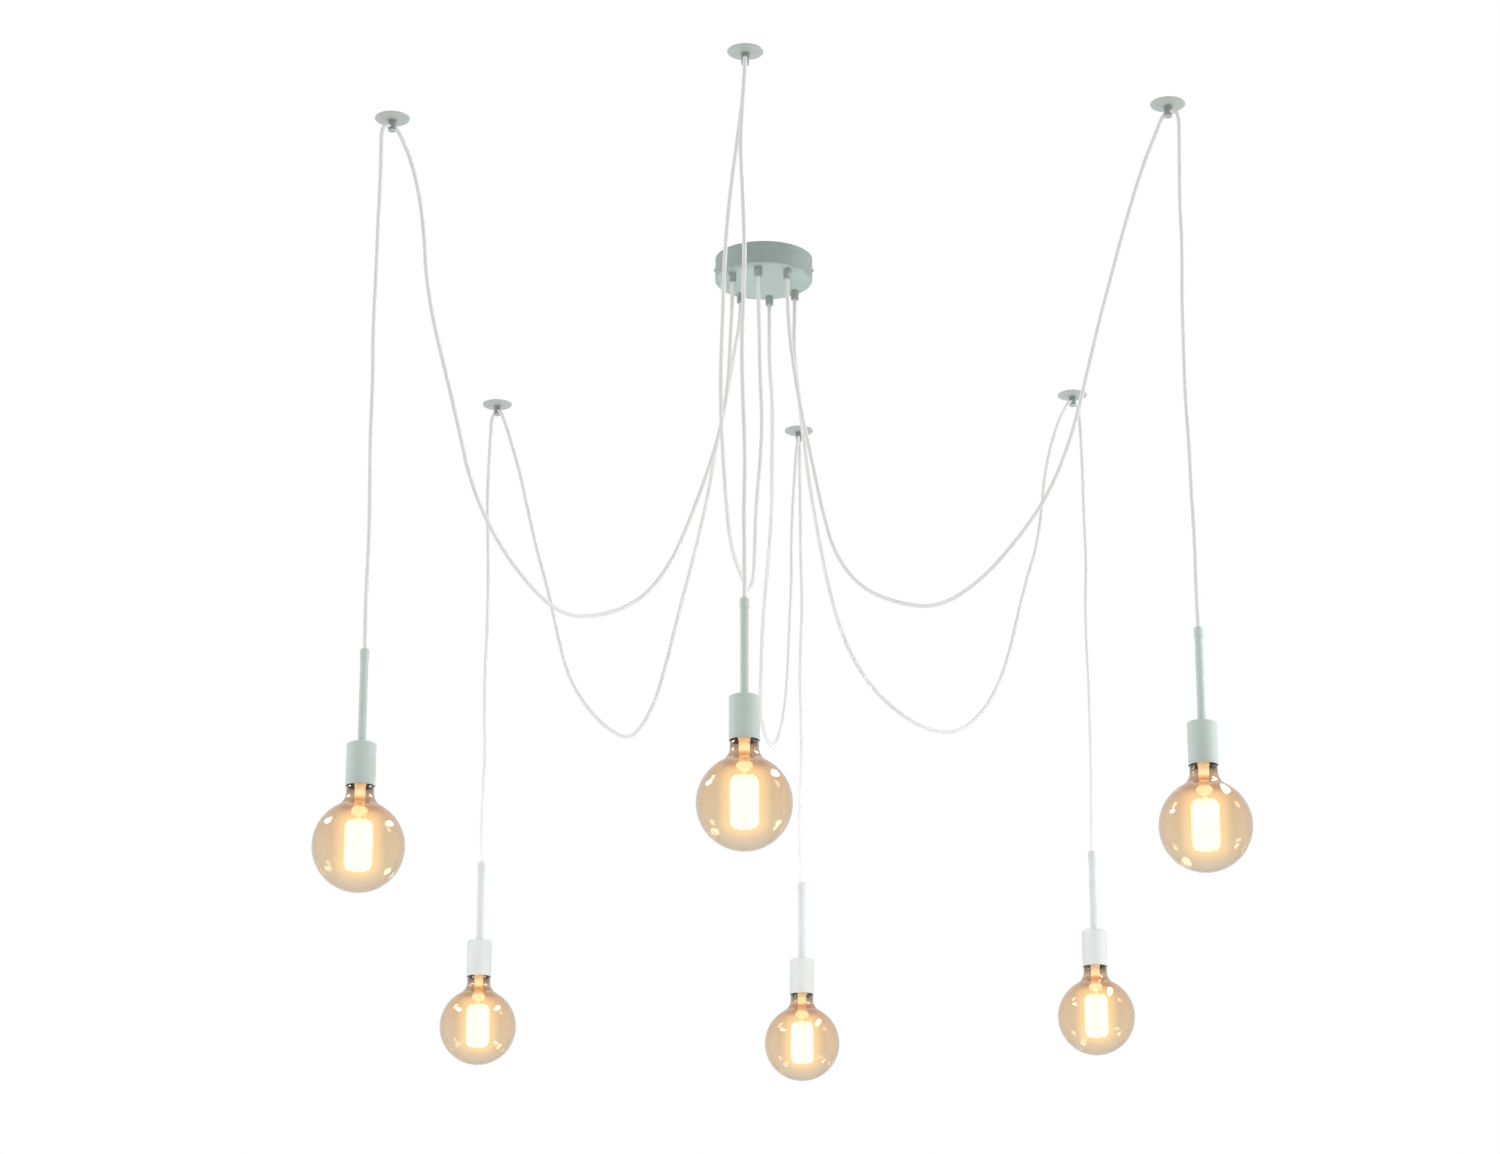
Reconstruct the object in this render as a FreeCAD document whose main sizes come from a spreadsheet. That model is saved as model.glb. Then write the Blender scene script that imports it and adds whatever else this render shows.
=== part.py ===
import FreeCAD, Part
import math
import os
import Sketcher

# Spider pendant light: a ceiling canopy, six cords that hang in swags to six ceiling hooks, and a
# lamp with a globe bulb under each hook. Millimetres. The origin is the middle of the canopy on the
# ceiling, +Z up, and the ceiling is the plane Z = 0.

os.makedirs("parts", exist_ok=True)
doc = FreeCAD.newDocument("SpiderPendant")

# Driving sizes
sizes = {
    "canopy_radius": 75.5,
    "canopy_depth": 37,
    "canopy_wall": 1,
    "canopy_edge_radius": 3,
    "side_screw_drop": 18,
    "side_screw_radius": 2,
    "side_screw_length": 7,
    "side_screw_head_radius": 3.5,
    "side_screw_head_height": 2.2,
    "strap_width": 22,
    "strap_thickness": 1.5,
    "strap_bend_radius": 2.5,
    "strap_ear_depth": 25,
    "strap_ear_clearance": 0.3,
    "slot_spacing": 60,
    "slot_length": 16,
    "slot_width": 4.5,
    "supply_hole_radius": 5,
    "tab_length": 27,
    "tab_width": 32,
    "terminal_pole_width": 9.5,
    "terminal_depth": 18,
    "terminal_height": 14,
    "terminal_screw_radius": 2.1,
    "terminal_wire_radius": 1.6,
    "terminal_hole_depth": 8,
    "terminal_mount_radius": 1.5,
    "gland_edge_gap": 3.9,
    "gland_first_angle": 36.5,
    "gland_step_angle": 45,
    "gland_radius": 6.1,
    "gland_length": 16,
    "gland_chamfer": 1.2,
    "gland_thread_radius": 5,
    "gland_thread_length": 6,
    "gland_hole_clearance": 0.1,
    "gland_nut_flats": 14,
    "gland_nut_height": 3,
    "gland_screw_radius": 2,
    "gland_screw_drop": 9,
    "cord_lead": 27,
    "cord_radius": 3,
    "cord_clearance": 0.1,
    "cord_end_inside": 6,
    "rosette_radius": 25,
    "rosette_depth": 4,
    "rosette_wall": 0.8,
    "rosette_edge_radius": 2.2,
    "rosette_dome": 1.2,
    "hook_hole_radius": 2.25,
    "clamp_radius": 5.6,
    "clamp_length": 14.4,
    "clamp_chamfer": 0.6,
    "clamp_thread_radius": 4.2,
    "clamp_slot_drop": 13,
    "clamp_slot_clearance": 0.15,
    "clamp_base_thickness": 3.5,
    "clamp_cap_height": 2.4,
    "clamp_cap_edge": 1,
    "clamp_cap_gap": 0.8,
    "clamp_cap_slot_width": 1.2,
    "clamp_cap_slot_depth": 1,
    "swing_out": 19,
    "swing_drop": 35,
    "swing_gap": 0.3,
    "tilt_rise": 0.8,
    "grip_radius": 6.4,
    "grip_bore_radius": 2.2,
    "grip_length": 14,
    "grip_edge_radius": 1.8,
    "grip_spigot_length": 8,
    "tube_radius": 5.65,
    "tube_wall": 1,
    "tube_length": 119,
    "tube_end_radius": 4.9,
    "tube_end_length": 10,
    "fit_clearance": 0.1,
    "cup_radius": 20.2,
    "cup_length": 60,
    "cup_wall": 1.2,
    "cup_edge_radius": 2.6,
    "insert_clearance": 0.3,
    "insert_top_gap": 0.2,
    "insert_neck_gap": 0.6,
    "insert_top_radius": 8.5,
    "insert_shoulder_depth": 8,
    "insert_lip": 2.2,
    "insert_lip_height": 3,
    "insert_bore_radius": 13.6,
    "insert_contact_radius": 3.5,
    "insert_contact_height": 2.7,
    "insert_contact_gap": 0.3,
    "globe_radius": 62.5,
    "globe_drop": 82.5,
    "glass_wall": 1,
    "neck_radius": 18.25,
    "neck_fillet": 22,
    "neck_height": 84.5,
    "crimp_gap": 0.2,
    "crimp_height": 90.5,
    "crimp_rise": 3.4,
    "cap_radius": 13.2,
    "cap_thread_depth": 0.7,
    "cap_wall": 0.5,
    "cap_height": 22,
    "cap_bottom_height": 89,
    "cap_pitch": 3.6,
    "cap_insulator_radius": 8.5,
    "cap_insulator_height": 3.4,
    "cap_contact_radius": 4.6,
    "cap_contact_height": 1.1,
    "stem_radius": 7.3,
    "stem_bead_radius": 11,
    "stem_bead_height": 49,
    "stem_bead_thickness": 12,
    "stem_rod_radius": 1.4,
    "filament_radius": 15,
    "filament_top": 34,
    "filament_bottom": -31,
    "filament_wire_radius": 0.45,
    "filament_spoke_radius": 0.35,
    "filament_disc_radius": 2.4,
    "filament_disc_height": 2.5,
    "overrun": 1,
}
# Each hook on the ceiling, right and back of the canopy as seen from the front, and how far under
# the ceiling its lamp's cord grip hangs
places = {
    "hook_a_x": -532, "hook_a_y": -524, "lamp_a_drop": 796,
    "hook_b_x": -456, "hook_b_y": 642, "lamp_b_drop": 805,
    "hook_c_x": -28, "hook_c_y": -742, "lamp_c_drop": 794,
    "hook_d_x": 64, "hook_d_y": 773, "lamp_d_drop": 807,
    "hook_e_x": 529, "hook_e_y": 596, "lamp_e_drop": 798,
    "hook_f_x": 570, "hook_f_y": -572, "lamp_f_drop": 780,
}
counts = {"gland_run_count": 3, "filament_strand_count": 16, "terminal_pole_count": 3}

sheet = doc.addObject("Spreadsheet::Sheet", "Sizes")
for row, (name, number) in enumerate({**sizes, **places, **counts}.items(), 1):
    sheet.set(f"A{row}", name)
    sheet.set(f"B{row}", str(number))
    sheet.setAlias(f"B{row}", name)
doc.recompute()


# A size keeps its value together with the text of the expression that gives it
class Size:
    def __init__(self, value, text):
        self.value = float(value)
        self.text = text

    def __add__(self, other):
        other = as_size(other)
        return Size(self.value + other.value, f"({self.text} + {other.text})")

    def __sub__(self, other):
        other = as_size(other)
        return Size(self.value - other.value, f"({self.text} - {other.text})")

    def __mul__(self, other):
        other = as_size(other)
        return Size(self.value * other.value, f"({self.text} * {other.text})")

    def __truediv__(self, other):
        other = as_size(other)
        return Size(self.value / other.value, f"({self.text} / {other.text})")

    def __rmul__(self, other):
        return as_size(other) * self

    def __neg__(self):
        return Size(-self.value, f"(0 - {self.text})")


def as_size(number):
    if isinstance(number, Size):
        return number
    return Size(number, str(number))


def root(square):
    return Size(math.sqrt(square.value), f"sqrt({square.text})")


def size(name):
    return Size(sheet.get(name), f"Sizes.{name}")


def amount(name):
    return size(name).value


def bind(feature, **properties):
    for name, number in properties.items():
        feature.setExpression(name, as_size(number).text)


# Bodies, sketches and features
zero = as_size(0)
vector = FreeCAD.Vector


def new_body(name):
    body = doc.addObject("PartDesign::Body", name)
    body.Label = name
    return body


def origin_of(body, role):
    return next(item for item in body.Origin.OriginFeatures if item.Role == role)


# A sketch on one of the body's own planes, lifted off it, raised along it or turned about its upright
def new_sketch(body, name, role, lift=None, rise=None, turn=None):
    sketch = body.newObject("Sketcher::SketchObject", f"{body.Name}_{name}")
    sketch.AttachmentSupport = [(origin_of(body, role), "")]
    sketch.MapMode = "FlatFace"
    if turn is not None:
        upright = FreeCAD.Rotation(vector(0, 1, 0), as_size(turn).value)
        sketch.AttachmentOffset = FreeCAD.Placement(vector(), upright)
        sketch.setExpression(".AttachmentOffset.Rotation.Angle", f"{as_size(turn).text} * 1deg")
    if lift is not None:
        sketch.setExpression(".AttachmentOffset.Base.z", as_size(lift).text)
    if rise is not None:
        sketch.setExpression(".AttachmentOffset.Base.y", as_size(rise).text)
    return sketch


# A closed outline: each corner is (x, y) or (x, y, radius, side), where radius bends the edge that
# leads to the corner and side is 1 where its centre lies left of the way along and -1 where right
def draw_outline(sketch, corners):
    count = len(corners)
    first = sketch.GeometryCount
    for i in range(count):
        start, end = corners[i - 1], corners[i]
        a = vector(as_size(start[0]).value, as_size(start[1]).value, 0)
        b = vector(as_size(end[0]).value, as_size(end[1]).value, 0)
        if len(end) == 2:
            sketch.addGeometry(Part.LineSegment(a, b), False)
        else:
            radius, side = as_size(end[2]).value, end[3]
            chord = b - a
            height = math.sqrt(max(radius ** 2 - (chord.Length / 2) ** 2, 0))
            left = vector(-chord.y, chord.x, 0).normalize()
            centre = (a + b) * 0.5 + left * (height * side)
            middle = centre - left * (radius * side)
            sketch.addGeometry(Part.Arc(a, middle, b), False)
    for i in range(count):
        end = corners[i]
        edge = first + i
        following = first + (i + 1) % count
        end_point = end_at(sketch, edge, end)
        start_point = end_at(sketch, following, end)
        sketch.addConstraint(Sketcher.Constraint("Coincident", edge, end_point, following, start_point))
        place_point(sketch, edge, end_point, end)
        if len(end) == 4:
            bend_edge(sketch, edge, corners[i - 1], end)


# Arcs are kept counter-clockwise, so which of their ends lies at a corner is read from the sketch
def end_at(sketch, edge, corner):
    point = vector(as_size(corner[0]).value, as_size(corner[1]).value, 0)
    gaps = [sketch.getPoint(edge, position).distanceToPoint(point) for position in (1, 2)]
    return 1 if gaps[0] < gaps[1] else 2


def place_point(sketch, edge, position, corner):
    place_along(sketch, "DistanceX", edge, position, as_size(corner[0]))
    place_along(sketch, "DistanceY", edge, position, as_size(corner[1]))


def place_along(sketch, kind, edge, position, distance):
    index = sketch.addConstraint(Sketcher.Constraint(kind, -1, 1, edge, position, distance.value))
    sketch.setExpression(f"Constraints[{index}]", distance.text)


# An arc takes its radius, and a half circle the line that its centre lies on
def bend_edge(sketch, edge, start, end):
    radius = as_size(end[2])
    run = as_size(end[0]).value - as_size(start[0]).value
    rise = as_size(end[1]).value - as_size(start[1]).value
    if abs(math.hypot(run, rise) - 2 * radius.value) > 1e-6:
        index = sketch.addConstraint(Sketcher.Constraint("Radius", edge, radius.value))
        sketch.setExpression(f"Constraints[{index}]", radius.text)
    elif abs(run) < abs(rise):
        place_along(sketch, "DistanceX", edge, 3, as_size(end[0]))
    else:
        place_along(sketch, "DistanceY", edge, 3, as_size(end[1]))


def draw_circle(sketch, x, y, radius):
    x, y, radius = as_size(x), as_size(y), as_size(radius)
    centre = vector(x.value, y.value, 0)
    edge = sketch.addGeometry(Part.Circle(centre, vector(0, 0, 1), radius.value), False)
    place_point(sketch, edge, 3, (x, y))
    index = sketch.addConstraint(Sketcher.Constraint("Radius", edge, radius.value))
    sketch.setExpression(f"Constraints[{index}]", radius.text)


# A round-ended slot along x, from two arcs and two lines
def draw_slot(sketch, x, y, length, width):
    reach = (length - width) / 2
    radius = width / 2
    draw_outline(sketch, [
        (x - reach, y - radius),
        (x + reach, y - radius),
        (x + reach, y + radius, radius, 1),
        (x - reach, y + radius),
        (x - reach, y - radius, radius, 1),
    ][1:])


def draw_box(sketch, x, y, length, width):
    draw_outline(sketch, [
        (x - length / 2, y - width / 2),
        (x + length / 2, y - width / 2),
        (x + length / 2, y + width / 2),
        (x - length / 2, y + width / 2),
    ])


def revolve(body, name, corners):
    sketch = new_sketch(body, name, "XZ_Plane")
    draw_outline(sketch, corners)
    return turn_sketch(body, sketch, "V_Axis")


def turn_sketch(body, sketch, axis):
    feature = body.newObject("PartDesign::Revolution", f"{sketch.Name}_turned")
    feature.Profile = sketch
    feature.ReferenceAxis = (sketch, [axis])
    feature.Angle = 360
    return feature


def pad(body, sketch, length, symmetric=False, reverse=False):
    feature = body.newObject("PartDesign::Pad", f"{sketch.Name}_pad")
    feature.Profile = sketch
    bind(feature, Length=length)
    feature.SideType = "Symmetric" if symmetric else "One side"
    feature.Reversed = reverse
    return feature


def pocket(body, sketch, length, symmetric=False, reverse=False):
    before = body_volume(body)
    feature = body.newObject("PartDesign::Pocket", f"{sketch.Name}_pocket")
    feature.Profile = sketch
    bind(feature, Length=length)
    feature.SideType = "Symmetric" if symmetric else "One side"
    feature.Reversed = reverse
    doc.recompute()
    if body_volume(body) >= before:
        raise ValueError(f"{feature.Name} cuts nothing")
    return feature


def body_volume(body):
    doc.recompute()
    for item in body.Group:
        if "Invalid" in item.State or "Error" in item.State:
            raise ValueError(f"{item.Name} failed: {item.State}")
    return body.Shape.Volume


def turn_pattern(body, feature, angle, count):
    pattern = body.newObject("PartDesign::PolarPattern", f"{feature.Name}_pattern")
    pattern.Originals = [feature]
    pattern.Axis = (origin_of(body, "Z_Axis"), [""])
    pattern.Mode = "Extent"
    bind(pattern, Angle=angle, Occurrences=count)
    body.Tip = pattern
    return pattern


# What is written as a node: its name and the object that holds its shape
nodes = []


def keep_node(thing, name):
    thing.Label = name
    nodes.append((name, thing))


def place(thing, position, turn=0):
    thing.Placement = FreeCAD.Placement(position, FreeCAD.Rotation(vector(0, 0, 1), turn))


# Copies of one body at several places, kept as one node of separate solids
def copies(name, body, placements):
    links = []
    for number, (position, turn) in enumerate(placements, 1):
        link = doc.addObject("App::Link", f"{name}_{number}")
        link.LinkedObject = body
        place(link, position, turn)
        links.append(link)
    group = doc.addObject("Part::Compound", name)
    group.Links = links
    keep_node(group, name)
    return group


# Which gland each cord leaves by: how many steps it lies round the canopy from the first angle
gland_steps = {"a": 4, "b": 2, "c": 5, "d": 1, "e": 0, "f": 6}


# The lock nuts stand clear of the canopy's rounded edge, which sets the circle of the glands
def gland_pitch():
    nut_corner = size("gland_nut_flats") / root(as_size(3))
    return size("canopy_radius") - size("canopy_edge_radius") - nut_corner - size("gland_edge_gap")


def gland_place(letter):
    angle = math.radians(amount("gland_first_angle") + gland_steps[letter] * amount("gland_step_angle"))
    reach = gland_pitch().value
    return vector(reach * math.cos(angle), reach * math.sin(angle), 0)


def hook_place(letter):
    return vector(amount(f"hook_{letter}_x"), amount(f"hook_{letter}_y"), 0)


def outward(letter):
    return hook_place(letter).normalize()


def hook_turn(letter):
    direction = outward(letter)
    return math.degrees(math.atan2(direction.y, direction.x))


def lamp_place(letter):
    spot = hook_place(letter) + outward(letter) * amount("swing_out")
    spot.z = -amount(f"lamp_{letter}_drop")
    return spot


# The two legs of a radius at a named angle
def across(reach, angle):
    turn = math.radians(amount(angle))
    x = Size(reach.value * math.cos(turn), f"({reach.text} * cos(Sizes.{angle} * 1deg))")
    y = Size(reach.value * math.sin(turn), f"({reach.text} * sin(Sizes.{angle} * 1deg))")
    return x, y


# Canopy: a spun cup, open to the ceiling
def make_canopy():
    body = new_body("canopy_cup")
    radius, depth, wall = size("canopy_radius"), size("canopy_depth"), size("canopy_wall")
    edge, inner_edge = size("canopy_edge_radius"), size("canopy_edge_radius") - wall
    revolve(body, "shell", [
        (zero, -depth),
        (radius - edge, -depth),
        (radius, edge - depth, edge, 1),
        (radius, zero),
        (radius - wall, zero),
        (radius - wall, edge - depth),
        (radius - edge, wall - depth, inner_edge, -1),
        (zero, wall - depth),
    ])
    x, y = across(gland_pitch(), "gland_first_angle")
    holes = new_sketch(body, "gland_holes", "XY_Plane", -depth)
    hole = size("gland_thread_radius") + size("gland_hole_clearance")
    for side in (1, -1):
        draw_circle(holes, side * x, side * y, hole)
    cut = pocket(body, holes, wall + size("overrun"), reverse=True)
    run = size("gland_run_count")
    turn_pattern(body, cut, size("gland_step_angle") * (run - 1), run)
    screws = new_sketch(body, "screw_holes", "YZ_Plane")
    draw_circle(screws, zero, -size("side_screw_drop"), size("side_screw_radius") + size("fit_clearance"))
    pocket(body, screws, 2 * (radius + size("overrun")), symmetric=True)
    keep_node(body, "canopy_cup")


# Mounting strap: folded sheet with two ears, two slots, a hole for the supply and a side tab
def make_strap():
    body = new_body("mounting_strap")
    thickness, bend = size("strap_thickness"), size("strap_bend_radius")
    inner, half = bend - thickness, size("strap_width") / 2
    bore = size("canopy_radius") - size("canopy_wall")
    reach = root(bore * bore - half * half) - size("strap_ear_clearance")
    ear = size("strap_ear_depth")
    fold = new_sketch(body, "fold", "XZ_Plane")
    draw_outline(fold, [
        (bend - reach, zero),
        (-reach, -bend, bend, 1),
        (-reach, -ear),
        (thickness - reach, -ear),
        (thickness - reach, -bend),
        (bend - reach, -thickness, inner, -1),
        (reach - bend, -thickness),
        (reach - thickness, -bend, inner, -1),
        (reach - thickness, -ear),
        (reach, -ear),
        (reach, -bend),
        (reach - bend, zero, bend, 1),
    ])
    pad(body, fold, size("strap_width"), symmetric=True)
    tab = new_sketch(body, "tab", "XY_Plane")
    tab_reach, overrun = size("tab_length"), size("overrun")
    tab_middle = half + (tab_reach - overrun) / 2
    draw_box(tab, zero, tab_middle, size("tab_width"), tab_reach + overrun)
    pad(body, tab, thickness, reverse=True)
    holes = new_sketch(body, "holes", "XY_Plane")
    for side in (1, -1):
        draw_slot(holes, side * size("slot_spacing") / 2, zero, size("slot_length"), size("slot_width"))
    draw_circle(holes, zero, zero, size("supply_hole_radius"))
    draw_circle(holes, zero, half + size("terminal_depth") / 2, size("terminal_mount_radius"))
    pocket(body, holes, thickness + size("overrun"))
    ears = new_sketch(body, "ear_holes", "YZ_Plane")
    draw_circle(ears, zero, -size("side_screw_drop"), size("side_screw_radius") + size("fit_clearance"))
    pocket(body, ears, 2 * (reach + size("overrun")), symmetric=True)
    keep_node(body, "mounting_strap")


# Side screws: pan heads that hold the canopy to the ears of the strap
def make_side_screws():
    body = new_body("side_screw")
    radius, head = size("side_screw_radius"), size("side_screw_head_radius")
    start, height = size("canopy_radius"), size("side_screw_head_height")
    drop, length = size("side_screw_drop"), size("side_screw_length")
    crown = (head * head + height * height) / (2 * height)
    sketch = new_sketch(body, "profile", "XZ_Plane", rise=-drop)
    draw_outline(sketch, [
        (start - length, zero),
        (start - length, radius),
        (start, radius),
        (start, head),
        (start + height, zero, crown, -1),
    ])
    turn_sketch(body, sketch, "H_Axis")
    copies("canopy_screws", body, [(vector(0, 0, 0), 0), (vector(0, 0, 0), 180)])


# Terminal block: three poles with their screw wells and wire entries
def make_terminal_block():
    body = new_body("terminal_block")
    pole, depth, height = size("terminal_pole_width"), size("terminal_depth"), size("terminal_height")
    count, wire = size("terminal_pole_count"), size("terminal_wire_radius")
    middle = size("strap_width") / 2 + depth / 2
    top = -size("strap_thickness")
    outline = new_sketch(body, "block", "XY_Plane", top)
    draw_box(outline, zero, middle, pole * count, depth)
    pad(body, outline, height, reverse=True)
    first = -pole * (count - 1) / 2
    wells = new_sketch(body, "wells", "XY_Plane", top - height)
    entries = new_sketch(body, "entries", "XZ_Plane")
    for number in range(int(count.value)):
        x = first + pole * number
        draw_circle(wells, x, middle - depth / 4, size("terminal_screw_radius"))
        draw_circle(wells, x, middle + depth / 4, size("terminal_screw_radius"))
        draw_circle(entries, x, top - height / 2 - wire, wire)
    pocket(body, wells, size("terminal_hole_depth"), reverse=True)
    pocket(body, entries, 2 * (middle + depth), symmetric=True)
    keep_node(body, "terminal_block")


# Cord gland: a turned body with a threaded shank through the canopy, a nut inside and a clamp screw
def make_glands():
    radius, length, chamfer = size("gland_radius"), size("gland_length"), size("gland_chamfer")
    seat, wall = -size("canopy_depth"), size("canopy_wall")
    bore, shank = size("cord_radius") + size("cord_clearance"), size("gland_thread_radius")
    top = seat + wall + size("gland_thread_length")
    screw, screw_height = size("gland_screw_radius"), seat - size("gland_screw_drop")
    body = new_body("gland_body")
    revolve(body, "profile", [
        (bore, seat - length),
        (radius - chamfer, seat - length),
        (radius, seat - length + chamfer),
        (radius, seat),
        (shank, seat),
        (shank, top),
        (bore, top),
    ])
    tapped = new_sketch(body, "tapped", "YZ_Plane")
    draw_circle(tapped, zero, screw_height, screw)
    pocket(body, tapped, radius + size("overrun"), reverse=True)
    turns = [(gland_place(letter), gland_turn(letter)) for letter in gland_steps]
    copies("cord_glands", body, turns)

    nut = new_body("gland_nut")
    outline = new_sketch(nut, "hexagon", "XY_Plane", seat + wall)
    corner = size("gland_nut_flats") / root(as_size(3))
    half = size("gland_nut_flats") / 2
    draw_outline(outline, [
        (corner, zero), (corner / 2, half), (-corner / 2, half),
        (-corner, zero), (-corner / 2, -half), (corner / 2, -half),
    ])
    draw_circle(outline, zero, zero, shank + size("gland_hole_clearance"))
    pad(nut, outline, size("gland_nut_height"))
    copies("gland_lock_nuts", nut, turns)

    grub = new_body("gland_screw")
    inset = size("gland_hole_clearance")
    outline = new_sketch(grub, "circle", "YZ_Plane", bore)
    draw_circle(outline, zero, screw_height, screw - inset)
    pad(grub, outline, radius - bore)
    copies("gland_clamp_screws", grub, turns)


def gland_turn(letter):
    spot = gland_place(letter)
    return math.degrees(math.atan2(spot.y, spot.x))


# Ceiling hook: a spun rosette, a turned clamp body with a cross slot, and a cap screw under the cord
def make_hooks():
    turns = [(hook_place(letter), hook_turn(letter)) for letter in gland_steps]
    radius, depth, wall = size("rosette_radius"), size("rosette_depth"), size("rosette_wall")
    edge, dome, hole = size("rosette_edge_radius"), size("rosette_dome"), size("hook_hole_radius")
    crown = ((radius - edge) * (radius - edge) + dome * dome) / (2 * dome)
    rosette = new_body("rosette")
    revolve(rosette, "shell", [
        (hole, -depth),
        (radius - edge, dome - depth, crown, 1),
        (radius, dome + edge - depth, edge, 1),
        (radius, zero),
        (radius - wall, zero),
        (radius - wall, dome + edge - depth),
        (radius - edge, dome + wall - depth, edge - wall, -1),
        (hole, wall - depth, crown - wall, -1),
    ])
    copies("hook_rosettes", rosette, turns)

    clamp, length, thread = size("clamp_radius"), size("clamp_length"), size("clamp_thread_radius")
    chamfer, base = size("clamp_chamfer"), size("clamp_base_thickness")
    low = -depth - length
    body = new_body("clamp_body")
    revolve(body, "profile", [
        (thread, low),
        (clamp - chamfer, low),
        (clamp, low + chamfer),
        (clamp, -depth),
        (hole, -depth),
        (hole, -depth - base),
        (thread, -depth - base - (thread - hole)),
    ])
    slot = new_sketch(body, "slot", "YZ_Plane")
    half = size("cord_radius") + size("clamp_slot_clearance")
    middle = -size("clamp_slot_drop")
    draw_outline(slot, [
        (half, low - size("overrun")),
        (half, middle),
        (-half, middle, half, 1),
        (-half, low - size("overrun")),
    ])
    pocket(body, slot, 2 * (clamp + size("overrun")), symmetric=True)
    copies("hook_clamp_bodies", body, turns)

    cap = new_body("clamp_cap")
    height, round_over = size("clamp_cap_height"), size("clamp_cap_edge")
    shank = thread - size("fit_clearance")
    tip = middle - size("cord_radius") - size("clamp_cap_gap")
    revolve(cap, "profile", [
        (zero, low - height),
        (clamp - round_over, low - height),
        (clamp, low - height + round_over, round_over, 1),
        (clamp, low - chamfer),
        (clamp - chamfer, low),
        (shank, low),
        (shank, tip),
        (zero, tip),
    ])
    cross = new_sketch(cap, "driver_slot", "XY_Plane", low - height)
    draw_box(cross, zero, zero, 3 * clamp, size("clamp_cap_slot_width"))
    pocket(cap, cross, size("clamp_cap_slot_depth"), reverse=True)
    copies("hook_clamp_caps", cap, turns)


# Points of each swag in the upright plane from its gland to its hook, below the straight lead under
# the gland: how far along from the gland, how high, and how far the cord strays sideways to the right
# as seen from the front. They were chosen at the drawn span, and grow with the span.
swags = {
    "a": (677, [(5, -158), (9, -226), (26, -305), (56, -385), (90, -463), (127, -537),
                (183, -606), (262, -650), (345, -669), (420, -630), (480, -576), (524, -508),
                (547, -436), (571, -366), (599, -290), (616, -219), (621, -160), (632, -102),
                (648, -57), (664, -31)]),
    "b": (717, [(18, -130), (38, -200), (68, -276), (92, -358), (128, -440), (167, -516),
                (200, -590), (236, -655), (297, -696), (363, -664), (430, -611), (487, -545),
                (522, -463), (550, -385), (588, -305), (620, -222), (649, -145), (678, -84),
                (699, -43)]),
    "c": (672, [(6, -150, 2), (14, -220, 3), (30, -300, 7), (54, -378, 4),
                (86, -455, -1), (124, -530, -2), (178, -598, -2), (253, -642, -8), (336, -656, -11),
                (412, -627, -28), (470, -570, -33), (514, -500, -37), (542, -425, -38),
                (566, -345, -34), (590, -262, -31), (612, -182, -23), (630, -108, -12),
                (648, -58, -5), (660, -32, -2)]),
    "d": (706, [(5, -146, -1), (15, -220, 4), (30, -300, 1), (50, -380, 0),
                (78, -462, -4), (112, -540, -10), (158, -610, -16), (226, -660, -24),
                (308, -681, -20), (392, -663, -29), (458, -614, -23), (508, -547, -18),
                (546, -471, -14), (576, -392, -11), (604, -310, -6), (630, -226, -8),
                (655, -144, -6), (676, -82, -4), (691, -39, -2)]),
    "e": (728, [(-4, -140), (8, -205), (19, -275), (33, -350), (54, -430), (78, -508),
                (114, -582), (168, -636), (240, -668), (318, -682), (395, -672), (455, -632),
                (503, -578), (538, -513), (565, -440), (592, -370), (625, -300), (640, -235),
                (650, -175), (668, -118), (692, -66), (711, -37)]),
    "f": (738, [(4, -145), (15, -212), (30, -284), (50, -360), (70, -442), (96, -522),
                (146, -584), (218, -624), (297, -649), (376, -629), (446, -585), (508, -531),
                (552, -460), (581, -382), (608, -302), (639, -222), (669, -146), (701, -76),
                (722, -42)]),
}
# Points of each drop: how far it strays in x and y from the lamp's axis, and how high. They were
# chosen at the drawn height of the cord grip, and grow with it.
drops = {
    "a": (796, [(1, 0, -95), (-1, 1, -165), (-1, -1, -245), (-3, 0, -325), (-1, 2, -405), (-2, 0, -485),
          (0, -1, -565), (1, 1, -645), (-1, 0, -720)]),
    "b": (805, [(-2, 1, -90), (-4, 0, -165), (-1, -1, -240), (1, 0, -318), (1, 2, -395), (-1, 0, -470),
          (-1, -2, -545), (2, 0, -615), (0, 1, -685), (-2, 0, -750)]),
    "c": (794, [(-3, 0, -85), (-6, 1, -145), (-3, 0, -210), (0, -1, -290), (-1, 1, -365), (-4, 0, -440),
          (-2, -1, -520), (1, 0, -600), (-1, 1, -670), (0, 0, -740)]),
    "d": (807, [(0, 1, -90), (1, -1, -160), (1, 1, -235), (4, 0, -310), (0, -1, -385), (-1, 1, -460),
          (1, 0, -535), (1, 1, -605), (-3, 0, -680), (-3, -1, -748)]),
    "e": (798, [(2, 0, -85), (3, 1, -155), (3, -1, -225), (5, 0, -295), (1, 1, -370), (1, -1, -440),
          (3, 0, -515), (3, 1, -590), (3, -1, -660), (1, 0, -735)]),
    "f": (780, [(-1, 0, -85), (-3, 1, -155), (-2, -1, -225), (-5, 0, -300), (-5, 1, -370), (-6, -1, -440),
          (-3, 0, -515), (-2, 1, -590), (0, 0, -660), (-1, 0, -722)]),
}


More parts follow.
